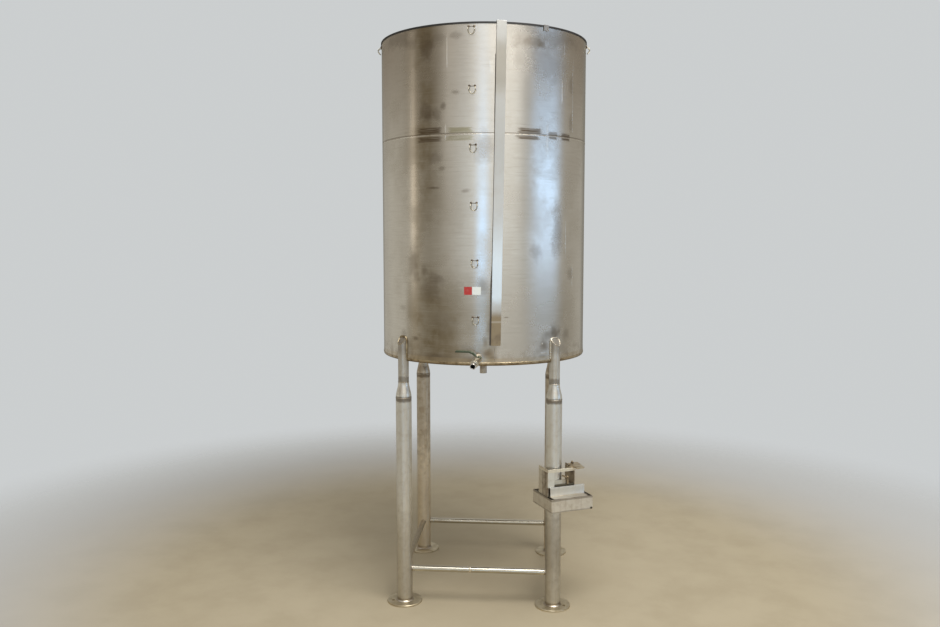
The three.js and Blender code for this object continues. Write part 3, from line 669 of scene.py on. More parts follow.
# Front right pipe: the brown ring round and below the tray is the tray's painted shadow.
TRAY_SIDE_PIPE = bare_steel(
    "tray_shadowed_pipe", (0.70, 0.685, 0.63), (0.44, 0.385, 0.295), 0.36, 0.35, 0.35, 0.08,
    [*WELD_RINGS, (0.38, 0.26, 0.24, TINT_BROWN), (1.42, 0.14, 0.16, TINT_BROWN)],
)
# Rear pipes: the pale rings at the floor are painted light, paler towards the floor.
BROWN_PIPE = bare_steel(
    "browned_pipe", (0.50, 0.44, 0.35), (0.28, 0.21, 0.13), 0.36, 0.5, 0.5, 0.08,
    [(0.0, 0.90, 0.50, PALE_PIPE), (0.0, 0.40, 0.60, PALE_PIPE), *WELD_RINGS],
)
FOOT_STEEL = bare_steel("foot_steel", (0.57, 0.50, 0.36), (0.33, 0.265, 0.16), 0.45, 0.7, 0.0)
VALVE_STEEL = bare_steel("valve_skin", (0.76, 0.73, 0.64), (0.42, 0.35, 0.25), 0.22, 0.4, 0.2)
POLISHED = bare_steel("polished_steel", (0.80, 0.79, 0.76), (0.55, 0.50, 0.42), 0.2, 0.3, 0.2)
RAIL_STEEL = bare_steel(
    "rail_steel", (0.54, 0.51, 0.425), (0.44, 0.40, 0.31), 0.22, 0.3, 0.0, 0.04, specks=0.0, grained=0.0,
)
DULL_RAIL = bare_steel(
    "dull_rail", (0.48, 0.42, 0.32), (0.34, 0.28, 0.19), 0.42, 0.5, 0.0, 0.05, grained=0.02,
)
CHANNEL_LOW, CHANNEL_HIGH = (corner.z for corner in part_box("bracket_channel"))
CHANNEL_WEB = CHANNEL_LOW + 0.6 * (CHANNEL_HIGH - CHANNEL_LOW)
BRIGHT_SHEET = bare_steel(
    "bright_sheet", (0.76, 0.77, 0.75), (0.52, 0.48, 0.38), 0.34, 0.3, 0.15,
    tints=[(TRAY_TOP + 0.003, 0.006, 0.5, GOLD), (CHANNEL_WEB, 0.018, 0.25, colour(0.45, 0.44, 0.40))],
)
PALE_BAR = bare_steel("pale_bar", (0.63, 0.62, 0.55), (0.36, 0.29, 0.20), 0.4, 0.5, 0.3)
CLEAN_POST = bare_steel("clean_post", (0.78, 0.78, 0.72), (0.46, 0.38, 0.27), 0.38, 0.35, 0.3)
CREAM_BAR = bare_steel("cream_bar", (0.84, 0.79, 0.66), (0.38, 0.29, 0.19), 0.4, 0.55, 0.2)
STAINED_BAR = bare_steel("stained_bar", (0.52, 0.47, 0.39), (0.20, 0.14, 0.09), 0.45, 0.8, 0.5)
# The cage's side plate: brown stain, darkened further by painted shade.
BROWN_PLATE = bare_steel("side_plate_stain_and_shade", (0.35, 0.29, 0.215), (0.12, 0.09, 0.065), 0.45, 0.7, 0.6)
BOLT_BROWN = bare_steel("bolt_brown", (0.37, 0.295, 0.195), (0.11, 0.085, 0.055), 0.5, 0.7, 0.2)
STRAW_PLATE = bare_steel("straw_plate", (0.58, 0.50, 0.36), (0.26, 0.18, 0.10), 0.42, 0.7, 0.2)
TRAY_SHEET = bare_steel(
    "tray_sheet", (0.74, 0.70, 0.62), (0.46, 0.38, 0.27), 0.4, 0.4, 0.35,
    tints=[(TRAY_TOP - 0.002, 0.010, 0.55, TINT_BROWN), (TRAY_TOP - 0.073, 0.008, 0.4, TINT_BROWN)],
)
WELD_METAL = bare_steel("weld_metal", (0.55, 0.50, 0.42), (0.22, 0.17, 0.11), 0.32, 0.9, 0.2)
BRIGHT_BEAD = bare_steel("bright_bead", (0.80, 0.74, 0.62), (0.34, 0.25, 0.15), 0.26, 0.9, 0.0)
GOLDEN_WELD = bare_steel("golden_weld", (0.50, 0.42, 0.28), (0.20, 0.145, 0.08), 0.38, 0.9, 0.0)
DARK_WELD = bare_steel("burnt_weld", (0.15, 0.12, 0.09), (0.06, 0.048, 0.038), 0.5, 0.8, 0.2)
LOOP_ROD = bare_steel("loop_rod", (0.47, 0.44, 0.36), (0.28, 0.24, 0.17), 0.36, 0.5, 0.2)


# %% Black trim, green grip, label
def rubber(name, tone, rough):
    """A dull skin: a plain tone, dust by blotches, a fine pebbled bump."""
    made, graph, shader = new_material(name)
    place = graph.place()
    dust = clouds(graph, BLOTCHES, place, 12.0, 0.45, 0.8)
    pale = colour(*(min(1.0, part * 2.2 + 0.03) for part in tone[:3]))
    mixed = graph.mix(graph.times(dust, 0.35), tone, pale)
    pebble = graph.noise(place, 900.0, 2.0)
    bump = graph.bump(pebble, 0.3, 0.0003)
    dull = graph.plus(graph.times(dust, 0.1), rough)
    link(graph, shader, Base_Color=mixed, Roughness=dull, Normal=bump)
    return made


BLACK_TRIM = rubber("black_trim", colour(0.012, 0.011, 0.010), 0.55)
GREEN_GRIP = rubber("green_grip", colour(0.034, 0.051, 0.028), 0.42)
# A near-black skin for the painted shade in the spout's bore.
DARK_MOUTH = rubber("painted_bore_shade", colour(0.004, 0.004, 0.004), 0.9)
# A dark skin for the painted shadow beside the gauge strip.
GAP_DIRT = rubber("painted_strip_shadow", colour(0.085, 0.074, 0.062), 0.7)
# A dark skin for the tray's nub and for the painted shadow in the gap behind the channel.
DARK_GAP = rubber("nub_and_gap_shadow", colour(0.042, 0.035, 0.020), 0.85)


def sticker(name, tone):
    """Printed film: a flat tone with faint dirt and a slight gloss."""
    made, graph, shader = new_material(name)
    place = graph.place()
    dirt = clouds(graph, BLOTCHES, place, 70.0, 0.5, 0.8)
    mixed = graph.mix(graph.times(dirt, 0.25), tone, colour(0.45, 0.40, 0.34))
    ripple = graph.noise(place, 120.0, 2.0)
    bump = graph.bump(ripple, 0.2, 0.0005)
    link(graph, shader, Base_Color=mixed, Normal=bump)
    shader.inputs["Roughness"].default_value = 0.38
    return made


RED_FILM = sticker("red_film", colour(0.41, 0.030, 0.026))
WHITE_FILM = sticker("white_film", colour(0.69, 0.73, 0.71))
print("materials", len(bpy.data.materials))

# %% [markdown]
# ## The wall and the bottom
# A rolled sheet is never quite round. Its small flats are what break the reflections into upright
# bands, so the radius gets a few slow waves, all of them inwards and at most 2 millimetres deep. Each
# course is one closed skin: up the outside, over the edge, down the inside. The bottom is a shallow
# cone that meets the wall in a rolled corner.

# %% Courses, dish and socket
WALL_COLUMNS = 320
COURSE_ROWS = 26
FLATS_FADE = 0.05


def flats(azimuth, height):
    """How far the sheet falls inside its nominal radius: slow waves round and up the wall, in metres."""
    turn = np.radians(azimuth)
    return (
        0.00055 * (1 + np.cos(7 * turn + 0.6 * height))
        + 0.00022 * (1 + np.cos(16 * turn - 1.9 * height + 0.8))
        + 0.00008 * (1 + np.cos(29 * turn + 2.3 * height))
    )


def wall_course(name, low, high, replaced):
    """Radius less the flats, which fade towards rim and foot: outside up, then inside down, as one ring."""
    azimuth = np.linspace(0, 360, WALL_COLUMNS, endpoint=False)[None, :]
    rise = np.linspace(low, high, COURSE_ROWS)[:, None]
    edge = np.clip(np.minimum(rise - KNUCKLE_TOP, TOP - rise) / FLATS_FADE, 0, 1)
    inset = flats(azimuth, rise) * edge
    outside = on_wall(azimuth, rise, -inset)
    inside = on_wall(azimuth, rise, -inset - WALL)[::-1]
    points = np.concatenate([outside, inside])
    faces = grid_faces(2 * COURSE_ROWS, WALL_COLUMNS, wrap_rows=True)
    return piece_from(name, points, faces, ROLLED_SHEET, replaces=replaced)


lower_course = wall_course("lower_course", KNUCKLE_TOP, SEAM, ["shell_lower_right", "shell_lower_left"])
upper_course = wall_course("upper_course", SEAM, TOP, ["shell_upper_right", "shell_upper_left"])

KNUCKLE = 0.008
SKIRT = 0.010
SKIRT_BULGE = 0.0012
CONE_ANGLE = math.radians(8.5)
DISH_COLUMNS = 256
SOCKET_RADIUS = (socket_high.x - socket_low.x) / 2
SOCKET_BORE = 0.015
SOCKET_CHAMFER = 0.001


def dish_section(radius):
    """A skirt r + b sin(pi s), then a quarter round down to the cone's slope, then a line to the socket."""
    share = np.linspace(0, 1, 6)[:-1]
    centre = RADIUS - KNUCKLE
    reach = centre + radius + SKIRT_BULGE * np.sin(np.pi * share)
    skirt = np.stack([reach, KNUCKLE_TOP - SKIRT * share], axis=1)
    turn = np.linspace(0, math.pi / 2 - CONE_ANGLE, 9)
    arc = np.stack([centre + radius * np.cos(turn), KNUCKLE_TOP - SKIRT - radius * np.sin(turn)], axis=1)
    reach = np.linspace(arc[-1][0], SOCKET_RADIUS, 12)[1:]
    slope = arc[-1][1] - (arc[-1][0] - reach) * math.tan(CONE_ANGLE)
    return np.concatenate([skirt, arc, np.stack([reach, slope], axis=1)])


under = dish_section(KNUCKLE)
over = dish_section(KNUCKLE - WALL)
points, faces = turned(np.concatenate([under, over[::-1]]), AXIS, DISH_COLUMNS)
piece_from("cone_bottom", points, faces, ROLLED_SHEET, replaces=["bottom_cone"])
socket_profile = [
    (SOCKET_BORE, socket_low.z), (SOCKET_RADIUS - SOCKET_CHAMFER, socket_low.z),
    (SOCKET_RADIUS, socket_low.z + SOCKET_CHAMFER), (SOCKET_RADIUS, socket_high.z),
    (SOCKET_BORE, socket_high.z),
]
points, faces = turned(socket_profile, AXIS, 48)
piece_from("outlet_boss", points, faces, STAINED_BAR, replaces=["outlet_socket"])
print("wall faces", len(lower_course.data.polygons) + len(upper_course.data.polygons))

# %% [markdown]
# ## Weld beads
# A weld is a low, rippled ridge. Here it is a thin tube, sunk into the sheet so that only its crest
# shows, with a small ripple in its radius from the welder's stops. Closed rings make the girth weld,
# the corner and the joints on the legs. A tube swept along a path makes the uprights, the arch where
# each stub meets the wall and the bead on its slanted end.


# %% Beads on the wall
BEAD_SHARP = math.radians(80)
RING_SIDES = 8
RING_RIPPLE = 0.13
WALL_STOPS = 640
GIRTH_BEAD = 0.0022
CORNER_BEAD = 0.0021
UPRIGHT_BEAD = 0.0018
UPRIGHT_POINTS_PER_METRE = 220


def bead(name, path, radius, finish=WELD_METAL, ripple=0.12, pitch=0.006, columns=8):
    """A tube along a path with radius r (1 + ripple cos(2 pi s / pitch)), s being the length along it."""
    path = np.asarray(path, float)
    length = np.concatenate([[0], np.cumsum(np.linalg.norm(np.diff(path, axis=0), axis=1))])
    wave = radius * (1 + ripple * np.cos(2 * np.pi * length / pitch))
    points, faces = swept(path, wave, columns)
    return piece_from(name, points, faces, finish, sharp=BEAD_SHARP)


def ring_bead(name, centre, ring, height, radius, finish=WELD_METAL, stops=220):
    """A ring at reach R + w cos u and height h + w sin u, where w ripples from stop to stop."""
    turn = np.linspace(0, 2 * np.pi, stops, endpoint=False)
    section = np.linspace(0, 2 * np.pi, RING_SIDES, endpoint=False)
    wave = radius * (1 + RING_RIPPLE * np.cos(turn * stops / 4))[None, :]
    reach = ring + wave * np.cos(section)[:, None]
    rise = height + wave * np.sin(section)[:, None]
    x = centre[0] + reach * np.sin(turn)
    y = centre[1] - reach * np.cos(turn)
    points = np.stack([x, y, np.broadcast_to(rise, x.shape)], axis=-1)
    faces = grid_faces(RING_SIDES, stops, wrap_rows=True)
    return piece_from(name, points, faces, finish, sharp=BEAD_SHARP)


ring_bead("girth_weld", AXIS, RADIUS - 0.0024, SEAM, GIRTH_BEAD, stops=WALL_STOPS)
ring_bead("corner_weld", AXIS, RADIUS - 0.0006, KNUCKLE_TOP - 0.001, CORNER_BEAD, GOLDEN_WELD, WALL_STOPS)
# Upright welds: azimuth, lower end, upper end. The front one is hidden by the strip but for its foot.
UPRIGHT_WELDS = {"front_foot": (9.6, KNUCKLE_TOP, 1.50), "rear": (190.0, KNUCKLE_TOP, TOP - 0.012)}
for side, (degrees, low, high) in UPRIGHT_WELDS.items():
    rise = np.linspace(low, high, max(20, int((high - low) * UPRIGHT_POINTS_PER_METRE)))
    bead(f"upright_weld_{side}", on_wall(degrees, rise, -flats(degrees, rise) - 0.0005), UPRIGHT_BEAD)
print("welds on the wall", 2 + len(UPRIGHT_WELDS))

# %% [markdown]
# ## Rim trim, gauge strip and clip
# The rim carries a black edge strip, a U pressed over the sheet. It is turned from the same section
# as its solid, with round shoulders. The gauge strip and the clip are flat bars, so they are
# copies of their solids with rounded edges. The strip is clean satin steel in the upper part,
# sanded below the middle, where a cool white reflection is painted on, stained brown at its foot
# and dulled where hands reach it near the rim, all by height. Along its left edge the strip's
# shadow is painted: a low, flat dark bead runs down beside the bar.

# %% Trim, strip and clip
trim_low, trim_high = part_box("rim_trim")
trim_outer = (trim_high.x - trim_low.x) / 2
trim_inner = RADIUS - WALL - (trim_outer - RADIUS)
SHOULDER = 0.0012
TRIM_LIP = 0.0025
TRIM_SEAT = TOP + 0.0003
trim_profile = [
    (trim_outer, trim_low.z), (trim_outer, trim_high.z - SHOULDER), (trim_outer - SHOULDER, trim_high.z),
    (trim_inner + SHOULDER, trim_high.z), (trim_inner, trim_high.z - SHOULDER), (trim_inner, trim_low.z),
    (trim_inner + TRIM_LIP, trim_low.z), (trim_inner + TRIM_LIP, TRIM_SEAT),
    (trim_outer - TRIM_LIP, TRIM_SEAT), (trim_outer - TRIM_LIP, trim_low.z),
]
points, faces = turned(trim_profile, AXIS, WALL_COLUMNS)
piece_from("edge_trim", points, faces, BLACK_TRIM, replaces=["rim_trim"])


def strip_finish():
    """Satin bar: pale above, dulled below the rim, rougher from sanding and painted cool white as a
    reflection in the lower half, brown at the foot.
    """
    made, graph, shader = new_material("satin_strip")
    place = graph.place()
    height = graph.split(place)["Z"]
    uneven = graph.plus(height, graph.times(graph.noise(place, 18.0, 4.0), 0.05))
    cloud = clouds(graph, BLOTCHES, place, 16.0, 0.4, 0.75)
    sanded = graph.span(uneven, 1.94, 2.30, 1.0, 0.0)
    sanded = graph.times(graph.span(uneven, 1.735, 1.80), sanded)
    foot = graph.span(uneven, 1.68, 1.74, 1.0, 0.0)
    below_mark = graph.span(height, 1.642, 1.646, 1.0, 0.0)
    pale_mark = graph.times(graph.span(height, 1.632, 1.636), below_mark)
    upper = graph.mix(graph.span(uneven, 2.25, 2.60), colour(0.64, 0.645, 0.63), colour(0.53, 0.53, 0.51))
    tone = graph.mix(graph.times(cloud, 0.22), upper, colour(0.42, 0.39, 0.33))
    # The lower half's cool white is a painted reflection; its extra roughness is from sanding.
    tone = graph.mix(graph.times(sanded, 0.96), tone, colour(0.82, 0.92, 1.0))
    handled = graph.times(graph.span(uneven, 2.82, 2.94), graph.span(uneven, 3.09, 3.19, 1.0, 0.0))
    tone = graph.mix(graph.times(handled, 0.5), tone, colour(0.30, 0.26, 0.19))
    brown = graph.mix(cloud, colour(0.33, 0.24, 0.125), colour(0.19, 0.13, 0.065))
    tone = graph.mix(graph.times(foot, 0.85), tone, brown)
    tone = graph.mix(graph.times(pale_mark, 0.35), tone, colour(0.75, 0.70, 0.62))
    rough = graph.plus(graph.times(sanded, 0.12), 0.33)
    rough = graph.plus(graph.times(cloud, 0.08), rough)
    grain = graph.noise(graph.stretch(place, (1.0, 1.0, 0.05)), 700.0, 3.0)
    bump = graph.bump(grain, 0.25, 0.0004)
    link(graph, shader, Base_Color=tone, Roughness=rough, Normal=bump)
    shader.inputs["Metallic"].default_value = 1.0
    return made


SATIN_STRIP = strip_finish()
refined_copy("gauge_strip", "strip_bar", SATIN_STRIP, 0.0007)
refined_copy("rim_clip", "clip_on_rim", POLISHED, 0.0005)
RIBBON_COLUMNS = 12


def wall_ribbon(rise, azimuth, half, lift):
    """A low ridge up the wall: half cos t across and lift sin t outwards, drawn to a line at its ends."""
    ends = np.concatenate([[0], np.ones(len(rise)), [0]])
    rise, azimuth, half = (np.pad(values, 1, mode="edge") for values in (rise, azimuth, half))
    t = np.linspace(0, 2 * np.pi, RIBBON_COLUMNS, endpoint=False)[None, :]
    across = (ends * half)[:, None] * np.cos(t)
    out = (ends * lift)[:, None] * np.sin(t)
    points = on_wall(azimuth[:, None] + np.degrees(across / RADIUS), rise[:, None], out)
    return points, grid_faces(len(rise), RIBBON_COLUMNS)


# The strip leans: its left edge's azimuth at the top, and how far it falls back over its length.
STRIP_TOP = 3.220
STRIP_LENGTH = 1.709
STRIP_EDGE_TOP = 10.14
STRIP_EDGE_FALL = 2.66
DIRT_LIFT = 0.0012
# The painted shadow line's half width at seven heights beside the strip.
WIDTH_HEIGHTS = [1.512, 1.84, 1.95, 2.25, 2.64, 2.76, 3.050]
WIDTHS = [0.0046, 0.0044, 0.0014, 0.0010, 0.0012, 0.0022, 0.0024]
rise = np.linspace(WIDTH_HEIGHTS[0], WIDTH_HEIGHTS[-1], 90)
edge = STRIP_EDGE_TOP - STRIP_EDGE_FALL * (STRIP_TOP - rise) / STRIP_LENGTH
wide = np.interp(rise, WIDTH_HEIGHTS, WIDTHS)
# A flat dark bead beside the strip's left edge: painted shadow of the strip over its gap.
points, faces = wall_ribbon(rise, edge - np.degrees(0.8 * wide / RADIUS), wide, DIRT_LIFT)
piece_from("strip_shadow_line", points, faces, GAP_DIRT)
print("trim from radius", round(trim_inner, 4), "to", round(trim_outer, 4), "dirt line", rise.size, "rows")

# %% [markdown]
# ## Tie loops
# Each loop is a bent rod that leaves the wall at two welds, droops outwards and comes back in. A
# smooth curve through a few points gives its centre line, and a tube is swept along it. The two weld
# ends are burnt dark blobs with a thin line of weld between them, and they show more than the rod.

# %% Rods and their weld blobs
LOOP_POINTS = np.array([
    [0.015, -0.002, 0.0], [0.016, 0.011, -0.0070], [0.018, 0.020, -0.01755], [0.015, 0.014, -0.0296],
    [0.0081, 0.0068, -0.0374], [0.0, 0.0052, -0.039],
])
LOOP_ROD_RADIUS = 0.0019
LOOP_WELD_RADIUS = 0.0017
LOOP_BLOB = (0.0062, 0.0052, 0.0066)
ROD_END_RISE = 0.0016
CURVE_STEPS = 6
BLOB_ROWS, BLOB_COLUMNS = 9, 14


def smooth_curve(points):
    """A cubic on each span, whose end slopes are half the next point minus half the previous one."""
    ends = np.concatenate([[2 * points[0] - points[1]], points, [2 * points[-1] - points[-2]]])
    before, first, second, after = (ends[i:len(ends) - 3 + i][:, None] for i in range(4))
    t = np.linspace(0, 1, CURVE_STEPS, endpoint=False)[None, :, None]
    curve = 0.5 * (
        2 * first + (second - before) * t
        + (2 * before - 5 * first + 4 * second - after) * t**2
        + (3 * first - before - 3 * second + after) * t**3
    )
    return np.concatenate([curve.reshape(-1, 3), points[-1:]])


def blob(centre, size):
    """A ball squashed to three half sizes: centre + size * (sin u cos v, sin u sin v, cos u)."""
    u = np.linspace(0, math.pi, BLOB_ROWS)[:, None]
    v = np.linspace(0, 2 * math.pi, BLOB_COLUMNS, endpoint=False)[None, :]
    upright = np.broadcast_to(np.cos(u), (BLOB_ROWS, BLOB_COLUMNS))
    ball = np.stack([np.sin(u) * np.cos(v), np.sin(u) * np.sin(v), upright], axis=-1)
    return np.asarray(centre) + ball * np.asarray(size), grid_faces(BLOB_ROWS, BLOB_COLUMNS)


def tie_loop(node):
    """The rod follows the loop's points in the wall's own side, outward and up directions at its azimuth."""
    low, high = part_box(node)
    middle = (low + high) / 2
    azimuth = azimuth_of(middle.x, middle.y)
    top = high.z - ROD_END_RISE
    turn = math.radians(azimuth)
    side = np.array([math.cos(turn), math.sin(turn), 0])
    out = np.array([math.sin(turn), -math.cos(turn), 0])
    basis = np.stack([side, out, UP])
    foot = on_wall(azimuth, top)
    mirrored = LOOP_POINTS[-2::-1] * np.array([-1, 1, 1])
    path = smooth_curve(np.concatenate([LOOP_POINTS, mirrored])) @ basis + foot
    points, faces = swept(path, LOOP_ROD_RADIUS, 12)
    piece_from(f"{node}_rod", points, faces, LOOP_ROD, replaces=[node])
    reach = side * LOOP_POINTS[0][0]
    grids = [blob(foot + reach * sign + UP * 0.001, LOOP_BLOB) for sign in (-1, 1)]
    line = np.linspace(-LOOP_POINTS[0][0], LOOP_POINTS[0][0], 9)[:, None] * side + foot
    grids.append(swept(line, LOOP_WELD_RADIUS, 8))
    points, faces = joined_grids(grids)
    piece_from(f"{node}_welds", points, faces, DARK_WELD)


loop_nodes = [name for name in cad_nodes if name.startswith(("tie_loop", "lifting_loop"))]
for node in sorted(loop_nodes):
    tie_loop(node)
print("loops", len(loop_nodes))

# %% [markdown]
# ## Label
# A small sticker sits on the front, red on its left and white on its right, with nothing written on
# it. It is a thin patch of the wall's own curve, lifted by less than a millimetre.

# %% Two-coloured blank label
label_low, label_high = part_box("blank_label")
LABEL_SPAN = (-6.3, 2.4)
LABEL_SPLIT = -2.2
LABEL_COLUMNS = 12
LABEL_BACK, LABEL_FACE = 0.0004, 0.0009


def film_patch(name, start, end, finish, replaces=()):
    """The wall's curve between two azimuths: an inner and an outer sheet, closed round the edge."""
    azimuth = np.linspace(start, end, LABEL_COLUMNS)
    low, high = label_low.z, label_high.z
    rows = [(low, LABEL_BACK), (low, LABEL_FACE), (high, LABEL_FACE), (high, LABEL_BACK)]
    points = np.stack([on_wall(azimuth, height, out) for height, out in rows])
    side = grid_faces(len(rows), LABEL_COLUMNS, wrap_rows=True, wrap_columns=False)
    first = np.arange(len(rows)) * LABEL_COLUMNS
    last = first[::-1] + LABEL_COLUMNS - 1
    faces = np.concatenate([side, [first, last]])
    return piece_from(name, points, faces, finish, replaces=replaces)


film_patch("label_red", LABEL_SPAN[0], LABEL_SPLIT, RED_FILM)
film_patch("label_white", LABEL_SPLIT + 0.05, LABEL_SPAN[1], WHITE_FILM, ["blank_label"])
print("label", round(label_high.z - label_low.z, 3), "high at", round(label_low.z, 3))

# %% [markdown]
# ## Legs
# Each leg is a foot plate, a wide pipe, a reducer and a narrow stub. The foot plate has an anchor
# hole off its centre: blending a small circle into a large one gives every ring of the plate in one
# formula. Pipe and reducer are turned. The stub is cut to the wall in CAD, so its copy is only
# smoothed. Rings of weld mark the joints, an arch of weld ties each stub to the wall, and a bead
# runs over its slanted end. The front right arch is thin and bright, and the others are golden.

# %% Foot plates, pipes, reducers, stubs and their welds
PIPE_RADIUS = 0.04445
PIPE_WALL = 0.00305
STUB_RADIUS = 0.03015
STUB_SLANT = math.radians(52)
COLLAR_SHARP = math.radians(60)
FOOT_COLUMNS = 72
FOOT_RADIUS = 0.100
HOLE_RADIUS = 0.009
HOLE_CIRCLE = 0.068
HOLE_ANGLE = math.radians(20)
WELD_SINK = 0.0004
PIPE_WELD, STUB_WELD, FOOT_WELD, SLANT_WELD = 0.0017, 0.0016, 0.007, 0.0019
THIN_ARCH, THICK_ARCH = 0.0034, 0.0050
ARCH_CORNER = 0.020


def foot_plate(name, node, centre, signs):
    """Rings from the hole to the rim: centre (1 - s) c, radius (1 - s) r + s R, the outer edge rounded."""
    low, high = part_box(node)
    hole = HOLE_CIRCLE * np.array([signs[0] * math.cos(HOLE_ANGLE), signs[1] * math.sin(HOLE_ANGLE)])
    rows = [
        (0.0, low.z), (0.0, high.z), (0.3, high.z), (0.6, high.z), (0.9, high.z), (0.97, high.z),
        (0.985, high.z - 0.0012), (1.0, high.z - 0.003), (1.0, low.z), (0.6, low.z), (0.3, low.z),
    ]
    turn = np.linspace(0, 2 * np.pi, FOOT_COLUMNS, endpoint=False)
    rings = []
    for share, height in rows:
        radius = (1 - share) * HOLE_RADIUS + share * FOOT_RADIUS
        x = centre[0] + (1 - share) * hole[0] + radius * np.cos(turn)
        y = centre[1] + (1 - share) * hole[1] + radius * np.sin(turn)
        rings.append(np.stack([x, y, np.full_like(x, height)], axis=-1))
    faces = grid_faces(len(rows), FOOT_COLUMNS, wrap_rows=True)
    return piece_from(name, np.stack(rings), faces, FOOT_STEEL, replaces=[node])


def reducer_profile(low, high, inset):
    """Radius eased by half a cosine from the pipe's to the stub's between two heights."""
    share = np.linspace(0, 1, 14)
    ease = (1 - np.cos(np.pi * share)) / 2
    radius = PIPE_RADIUS + (STUB_RADIUS - PIPE_RADIUS) * ease - inset
    return np.stack([radius, low + (high - low) * share], axis=1)


def fillet(name, centre, ring, height, size):
    """A three-cornered weld, turned round a pipe: up the pipe, out on the plate, hollow between."""
    profile = [
        (ring - 0.001, height), (ring + size, height),
        (ring + 0.4 * size, height + 0.35 * size), (ring - 0.001, height + size),
    ]
    points, faces = turned(profile, centre, 64)
    return piece_from(name, points, faces, WELD_METAL, sharp=COLLAR_SHARP)


def stub_arch(name, azimuth, low, high, finish, thick):
    """A path on the wall: up one side of the stub, round two quarter circles, down the other side."""
    half = STUB_RADIUS + 0.0010
    start, shoulder = -half + ARCH_CORNER, high - ARCH_CORNER
    rise = np.linspace(low, shoulder, 30)
    turn = np.linspace(0, math.pi / 2, 12)
    left = np.stack([np.full_like(rise, -half), rise], axis=1)
    sideways = -half + ARCH_CORNER * (1 - np.cos(turn))
    bend = np.stack([sideways, shoulder + ARCH_CORNER * np.sin(turn)], axis=1)
    across = np.stack([np.linspace(start, -start, 12), np.full(12, high)], axis=1)
    whole = np.concatenate([left, bend[1:], across[1:-1], bend[::-1] * [-1, 1], left[::-1][1:] * [-1, 1]])
    degrees = azimuth + np.degrees(whole[:, 0] / RADIUS)
    path = on_wall(degrees, whole[:, 1], 0.0005)
    return bead(name, path, thick, finish, ripple=0.18, pitch=0.009, columns=10)


def slant_bead(name, centre, signs, top, finish):
    """A bead on the stub's slanted end: r (cos t, sin t) about the leg, at top - r cos t tan(slant)."""
    facing = math.atan2(signs[1], signs[0])
    t = np.radians(np.linspace(-82, 82, 60))
    x = centre[0] + STUB_RADIUS * np.cos(t + facing)
    y = centre[1] + STUB_RADIUS * np.sin(t + facing)
    z = top - STUB_RADIUS * np.cos(t) * math.tan(STUB_SLANT)
    return bead(name, np.stack([x, y, z], axis=-1), SLANT_WELD, finish, ripple=0.1, pitch=0.008)


def leg(side, signs):
    """All the pieces of one leg round its own axis; each front leg has its own pipe finish."""
    finishes = {"front_left": PICKLED_PIPE, "front_right": TRAY_SIDE_PIPE}
    steel = finishes.get(side, BROWN_PIPE)
    low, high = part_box(f"leg_{side}")
    centre = ((low.x + high.x) / 2, (low.y + high.y) / 2)
    foot_plate(f"foot_plate_{side}", f"foot_{side}", centre, signs)
    inner = PIPE_RADIUS - PIPE_WALL
    profile = [(inner, low.z), (PIPE_RADIUS, low.z), (PIPE_RADIUS, high.z), (inner, high.z)]
    points, faces = turned(profile, centre, 56)
    piece_from(f"leg_pipe_{side}", points, faces, steel, replaces=[f"leg_{side}"])
    reducer_low, reducer_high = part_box(f"reducer_{side}")
    outside = reducer_profile(reducer_low.z, reducer_high.z, 0.0)
    inside = reducer_profile(reducer_low.z, reducer_high.z, PIPE_WALL)
    points, faces = turned(np.concatenate([outside, inside[::-1]]), centre, 56)
    piece_from(f"leg_reducer_{side}", points, faces, steel, replaces=[f"reducer_{side}"])
    refined_copy(f"stub_{side}", f"leg_stub_{side}", steel)
    ring_bead(f"pipe_weld_{side}", centre, PIPE_RADIUS - WELD_SINK, high.z, PIPE_WELD)
    ring_bead(f"stub_weld_{side}", centre, STUB_RADIUS - WELD_SINK, reducer_high.z, STUB_WELD)
    fillet(f"foot_weld_{side}", centre, PIPE_RADIUS, low.z, FOOT_WELD)
    azimuth = azimuth_of(*centre)
    stub_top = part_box(f"stub_{side}")[1].z
    finish, thick = (BRIGHT_BEAD, THIN_ARCH) if side == "front_right" else (GOLDEN_WELD, THICK_ARCH)
    stub_arch(f"stub_arch_{side}", azimuth, KNUCKLE_TOP + 0.002, stub_top + 0.004, finish, thick)
    slant_bead(f"stub_end_weld_{side}", centre, signs, stub_top - 0.001, finish)
    return centre


CORNERS = {"front_left": (-1, -1), "front_right": (1, -1), "rear_left": (-1, 1), "rear_right": (1, 1)}
leg_centres = {side: leg(side, signs) for side, signs in CORNERS.items()}
print("leg centres", {side: [round(value, 3) for value in centre] for side, centre in leg_centres.items()})

# %% [markdown]
# ## Rails
# Four thin pipes tie the legs together near the floor, smooth in front and behind and dull at the
# sides. Each is a tube from leg to leg with a ring of weld at both ends. The front one was made from
# two lengths, and its middle weld shines.

# %% Rails between the legs
RAIL_RADIUS = 0.0167
RAIL_ENDS = {
    "front": ("front_left", "front_right"), "rear": ("rear_left", "rear_right"),
    "left": ("front_left", "rear_left"), "right": ("front_right", "rear_right"),
}
RAIL_SINK = 0.004
COLLAR_SWELL, COLLAR_HALF, COLLAR_GAP, JOINT_HALF = 0.0014, 0.004, 0.0015, 0.005
FRONT_RAIL_JOINT = 0.445


def collar(start, end, share, radius, half):
    """A short swollen ring on a pipe: radius eased up and down again over its length."""
    along = unit(end - start)
    middle = start + (end - start) * share
    offset = np.linspace(-half, half, 7)
    path = middle + offset[:, None] * along
    swell = radius + COLLAR_SWELL * np.cos(np.pi * offset / (2 * half))
    return swept(path, swell, 32)


